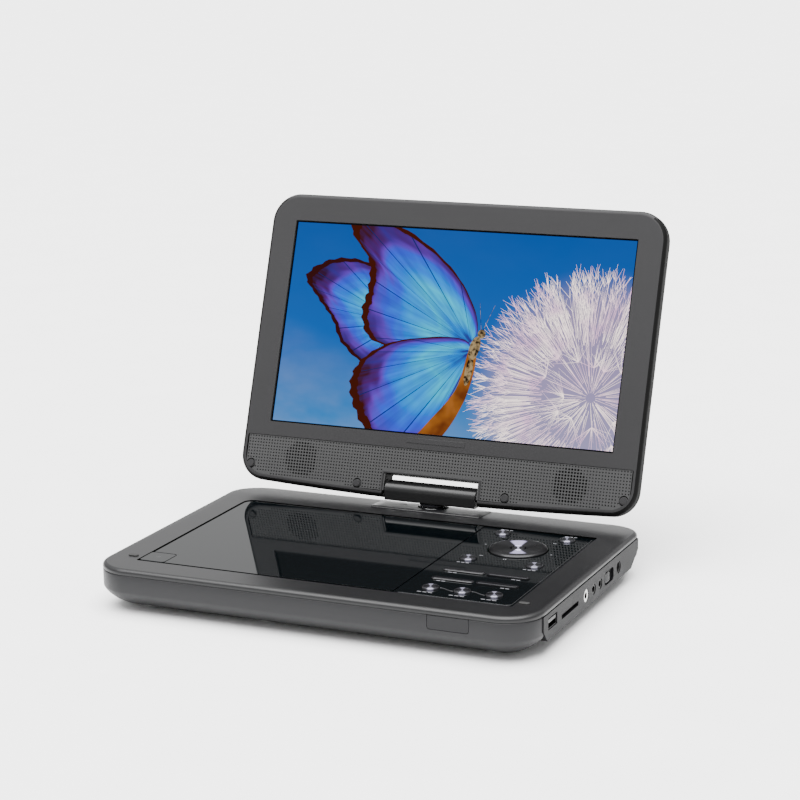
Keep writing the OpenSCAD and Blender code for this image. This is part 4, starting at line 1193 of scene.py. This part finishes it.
def butterfly():
    """Three wings, the folded wing seen edge on, and the body with its legs and feelers."""
    blue = wing_material("wing_blue", (0.05, 0.008, 0.004))
    violet = wing_material("wing_violet", (0.035, 0.006, 0.006))
    outline = [(-38, 124), (-60, 140), (-84, 141), (-101, 130)]
    outline += [(-92, 117), (-80, 104), (-70, 88), (-50, 80)]
    wing("picture_wing_far", (-34, 104), outline, FAR_WING, violet)
    outline = [(17, 100), (5, 130), (-26, 156), (-66, 172), (-74, 160)]
    outline += [(-60, 142), (-58, 124), (-60, 108), (-50, 92), (-14, 88)]
    wing("picture_wing_high", (15, 94), outline, HIGH_WING, blue)
    outline = [(13, 95), (-30, 94), (-54, 82), (-62, 66), (-56, 48), (-40, 30), (-14, 26), (4, 58)]
    wing("picture_wing_low", (15, 90), outline, LOW_WING, blue)
    nodes = Nodes("picture_fold")
    tone = nodes.noise(2.0, 2.0, nodes.coords(40.0))
    amber = glowing(nodes, nodes.ramp(tone, (0.3, (0.16, 0.04, 0.01)), (0.7, (0.5, 0.17, 0.03))))
    bm = bmesh.new()
    fold = smooth_outline([(14, 92), (8, 66), (-8, 44), (-18, 30), (0, 34), (14, 58), (19, 84)])
    flat_face(bm, fold, FOLD)
    picture_piece("picture_fold", bm, amber)
    nodes = Nodes("picture_body")
    tone = nodes.noise(1.0, 2.0, nodes.coords(400.0))
    hair = glowing(nodes, nodes.ramp(tone, (0.38, (0.02, 0.012, 0.008)), (0.6, (0.45, 0.32, 0.16))))
    bm = bmesh.new()
    for cx, cy, rx, ry, turn in ((17, 92, 3.4, 7.5, -12), (20.5, 101, 2.6, 2.8, 0), (15, 78, 2.4, 9, -6)):
        points = []
        a = math.radians(turn)
        for i in range(28):
            t = 2 * math.pi * i / 28
            x, y = rx * math.cos(t), ry * math.sin(t)
            across, up = x * math.cos(a) - y * math.sin(a), x * math.sin(a) + y * math.cos(a)
            points.append((cx + across, cy + up))
        flat_face(bm, points, BODY)
    feelers = [((20, 103), (17, 120)), ((21, 103), (27, 119))]
    legs = [((20, 96), (29, 92)), ((19, 92), (28, 86)), ((17, 88), (25, 80))]
    strands(bm, feelers + legs, 0.35, LEGS)
    picture_piece("picture_body", bm, hair)


def strands(bm, lines, width, depth):
    """Flat hairs that narrow to half their width at the tip."""
    for (x0, y0), (x1, y1) in lines:
        along = Vector((x1 - x0, y1 - y0))
        side = Vector((-along.y, along.x)).normalized() * width / 2
        corners = []
        for x, y, reach in ((x0, y0, -1), (x0, y0, 1), (x1, y1, 0.5), (x1, y1, -0.5)):
            corners.append((x + side.x * reach, y + side.y * reach))
        flat_face(bm, corners, depth)


def seed_head():
    """Pale filaments that radiate from the seed head at the picture's right."""
    nodes = Nodes("picture_filament")
    tone = nodes.noise(1.0, 2.0, nodes.coords(60.0))
    pale = glowing(nodes, nodes.ramp(tone, (0.35, (0.7, 0.42, 0.6)), (0.6, (1.0, 0.84, 0.8))), 2.1)
    bm = bmesh.new()
    centre = Vector((94, 68))
    lines = []

    def ray(angle, length):
        return Vector((math.cos(angle), math.sin(angle))) * length

    def spoke(angle, start, reach):
        tip = centre + Vector((math.cos(angle + random.uniform(-0.09, 0.09)), math.sin(angle))) * reach
        lines.append((centre + ray(angle, start), tip))
        return tip

    for _ in range(1000):
        angle = random.uniform(0.1, 2 * math.pi)
        tip = spoke(angle, random.uniform(30, 46), random.uniform(50, 72))
        for _ in range(3):
            spread = angle + random.uniform(-0.5, 0.5)
            length = random.uniform(4, 10)
            lines.append((tip, tip + ray(spread, length)))
    for _ in range(120):
        spoke(random.uniform(0, 2 * math.pi), random.uniform(4, 14), random.uniform(26, 48))
    for n in range(16):
        angle = 0.4 * n
        knot = spoke(angle, 3, random.uniform(16, 34))
        for _ in range(16):
            turn = angle + random.uniform(-1.3, 1.3)
            lines.append((knot, knot + ray(turn, random.uniform(8, 17))))
    strands(bm, lines, 0.22, SEEDS)
    return picture_piece("picture_seed_head", bm, pale)


# ---- build ----


def build_base():
    lower_shell()
    upper_shell()
    hinge_pad()
    # The side port panel takes the darker grey of painted shade.
    polish("port_panel", 0.3, "port_grey_painted_shade")
    polish("remote_window", 0.25)
    polish("disc_door", 0.3)
    push_corner()
    polish("control_panel", 0.3)
    polish("power_switch", 0.2)
    polish("deck_bumpers", 0.2)
    sockets()
    direction_pad()
    round_key("enter_key", 0.9 * MM)
    for number in range(1, 5):
        round_key(f"corner_key_{number}", 0.95 * MM)
        bar_key(f"bar_key_{number}")
    row = [f"row_key_{number}" for number in range(1, 4)]
    for node in row:
        round_key(node, 0.95 * MM)
    key_wave(row)
    mark_rows()
    panel_line()
    turn_mark()
    open_mark()


def build_lid():
    turret()
    polish("hinge_block_front", 0.25, "hinge_grey")
    polish("hinge_block_rear", 0.25, "hinge_grey")
    lid_front()
    lid_back()
    grille()
    polish("lid_trim", 0.15, "lid_grey")
    sky()
    butterfly()
    seed_head()


def dress_cad():
    """Gives every CAD node its procedural material."""
    for node, obj in frame["nodes"].items():
        obj.data.materials.clear()
        obj.data.materials.append(MATERIALS[SLOT_OF[node]])


def studio():
    """Pale floor, soft overhead and side light, and an even white surround."""
    mesh = bpy.data.meshes.new("floor")
    corners = [(30.0 * x, 30.0 * y, 0) for x, y in ((-1, -1), (1, -1), (1, 1), (-1, 1))]
    mesh.from_pydata(corners, [], [(0, 1, 2, 3)])
    floor = add_object("floor", mesh)
    mesh.materials.append(grained("floor_white", (0.86, 0.86, 0.86), 0.9, depth=0.0, tint=0.01))
    world = bpy.data.worlds.new("studio")
    world.use_nodes = True
    background = world.node_tree.nodes["Background"]
    background.inputs[0].default_value = (1, 1, 1, 1)
    background.inputs[1].default_value = 1.0
    bpy.context.scene.world = world
    overhead = bpy.data.lights.new("overhead", "SUN")
    overhead.energy = 13.0
    overhead.angle = math.radians(70)
    add_object("overhead", overhead).rotation_euler = (math.radians(8), 0, 0)
    key = bpy.data.lights.new("key_light", "AREA")
    key.size = 1.2
    key.energy = 8
    light = add_object("key_light", key)
    light.location = (-0.9, -1.1, 1.5)
    light.rotation_euler = (Vector((0, 0, 0.05)) - light.location).to_track_quat("-Z", "Y").to_euler()


def camera():
    """Long lens from the front right, a little above the deck. Solved from the object's corners."""
    azimuth, elevation, roll = math.radians(24.25), math.radians(13.34), math.radians(-0.86)
    place = Vector((0.5458, MID_Y - 1.1725, DECK_Z + 0.3915))
    level = math.cos(elevation)
    forward = Vector((-math.sin(azimuth) * level, math.cos(azimuth) * level, -math.sin(elevation)))
    right = Vector((math.cos(azimuth), math.sin(azimuth), 0))
    up = right.cross(forward)
    side = math.cos(roll) * right + math.sin(roll) * up
    top = -math.sin(roll) * right + math.cos(roll) * up
    data = bpy.data.cameras.new("camera")
    data.lens = 106.0
    data.sensor_width = 36.0
    obj = add_object("camera", data)
    turn = Matrix((side, top, -forward)).transposed().to_4x4()
    obj.matrix_world = Matrix.Translation(place) @ turn
    bpy.context.scene.camera = obj


dress_cad()
build_base()
build_lid()
studio()
camera()
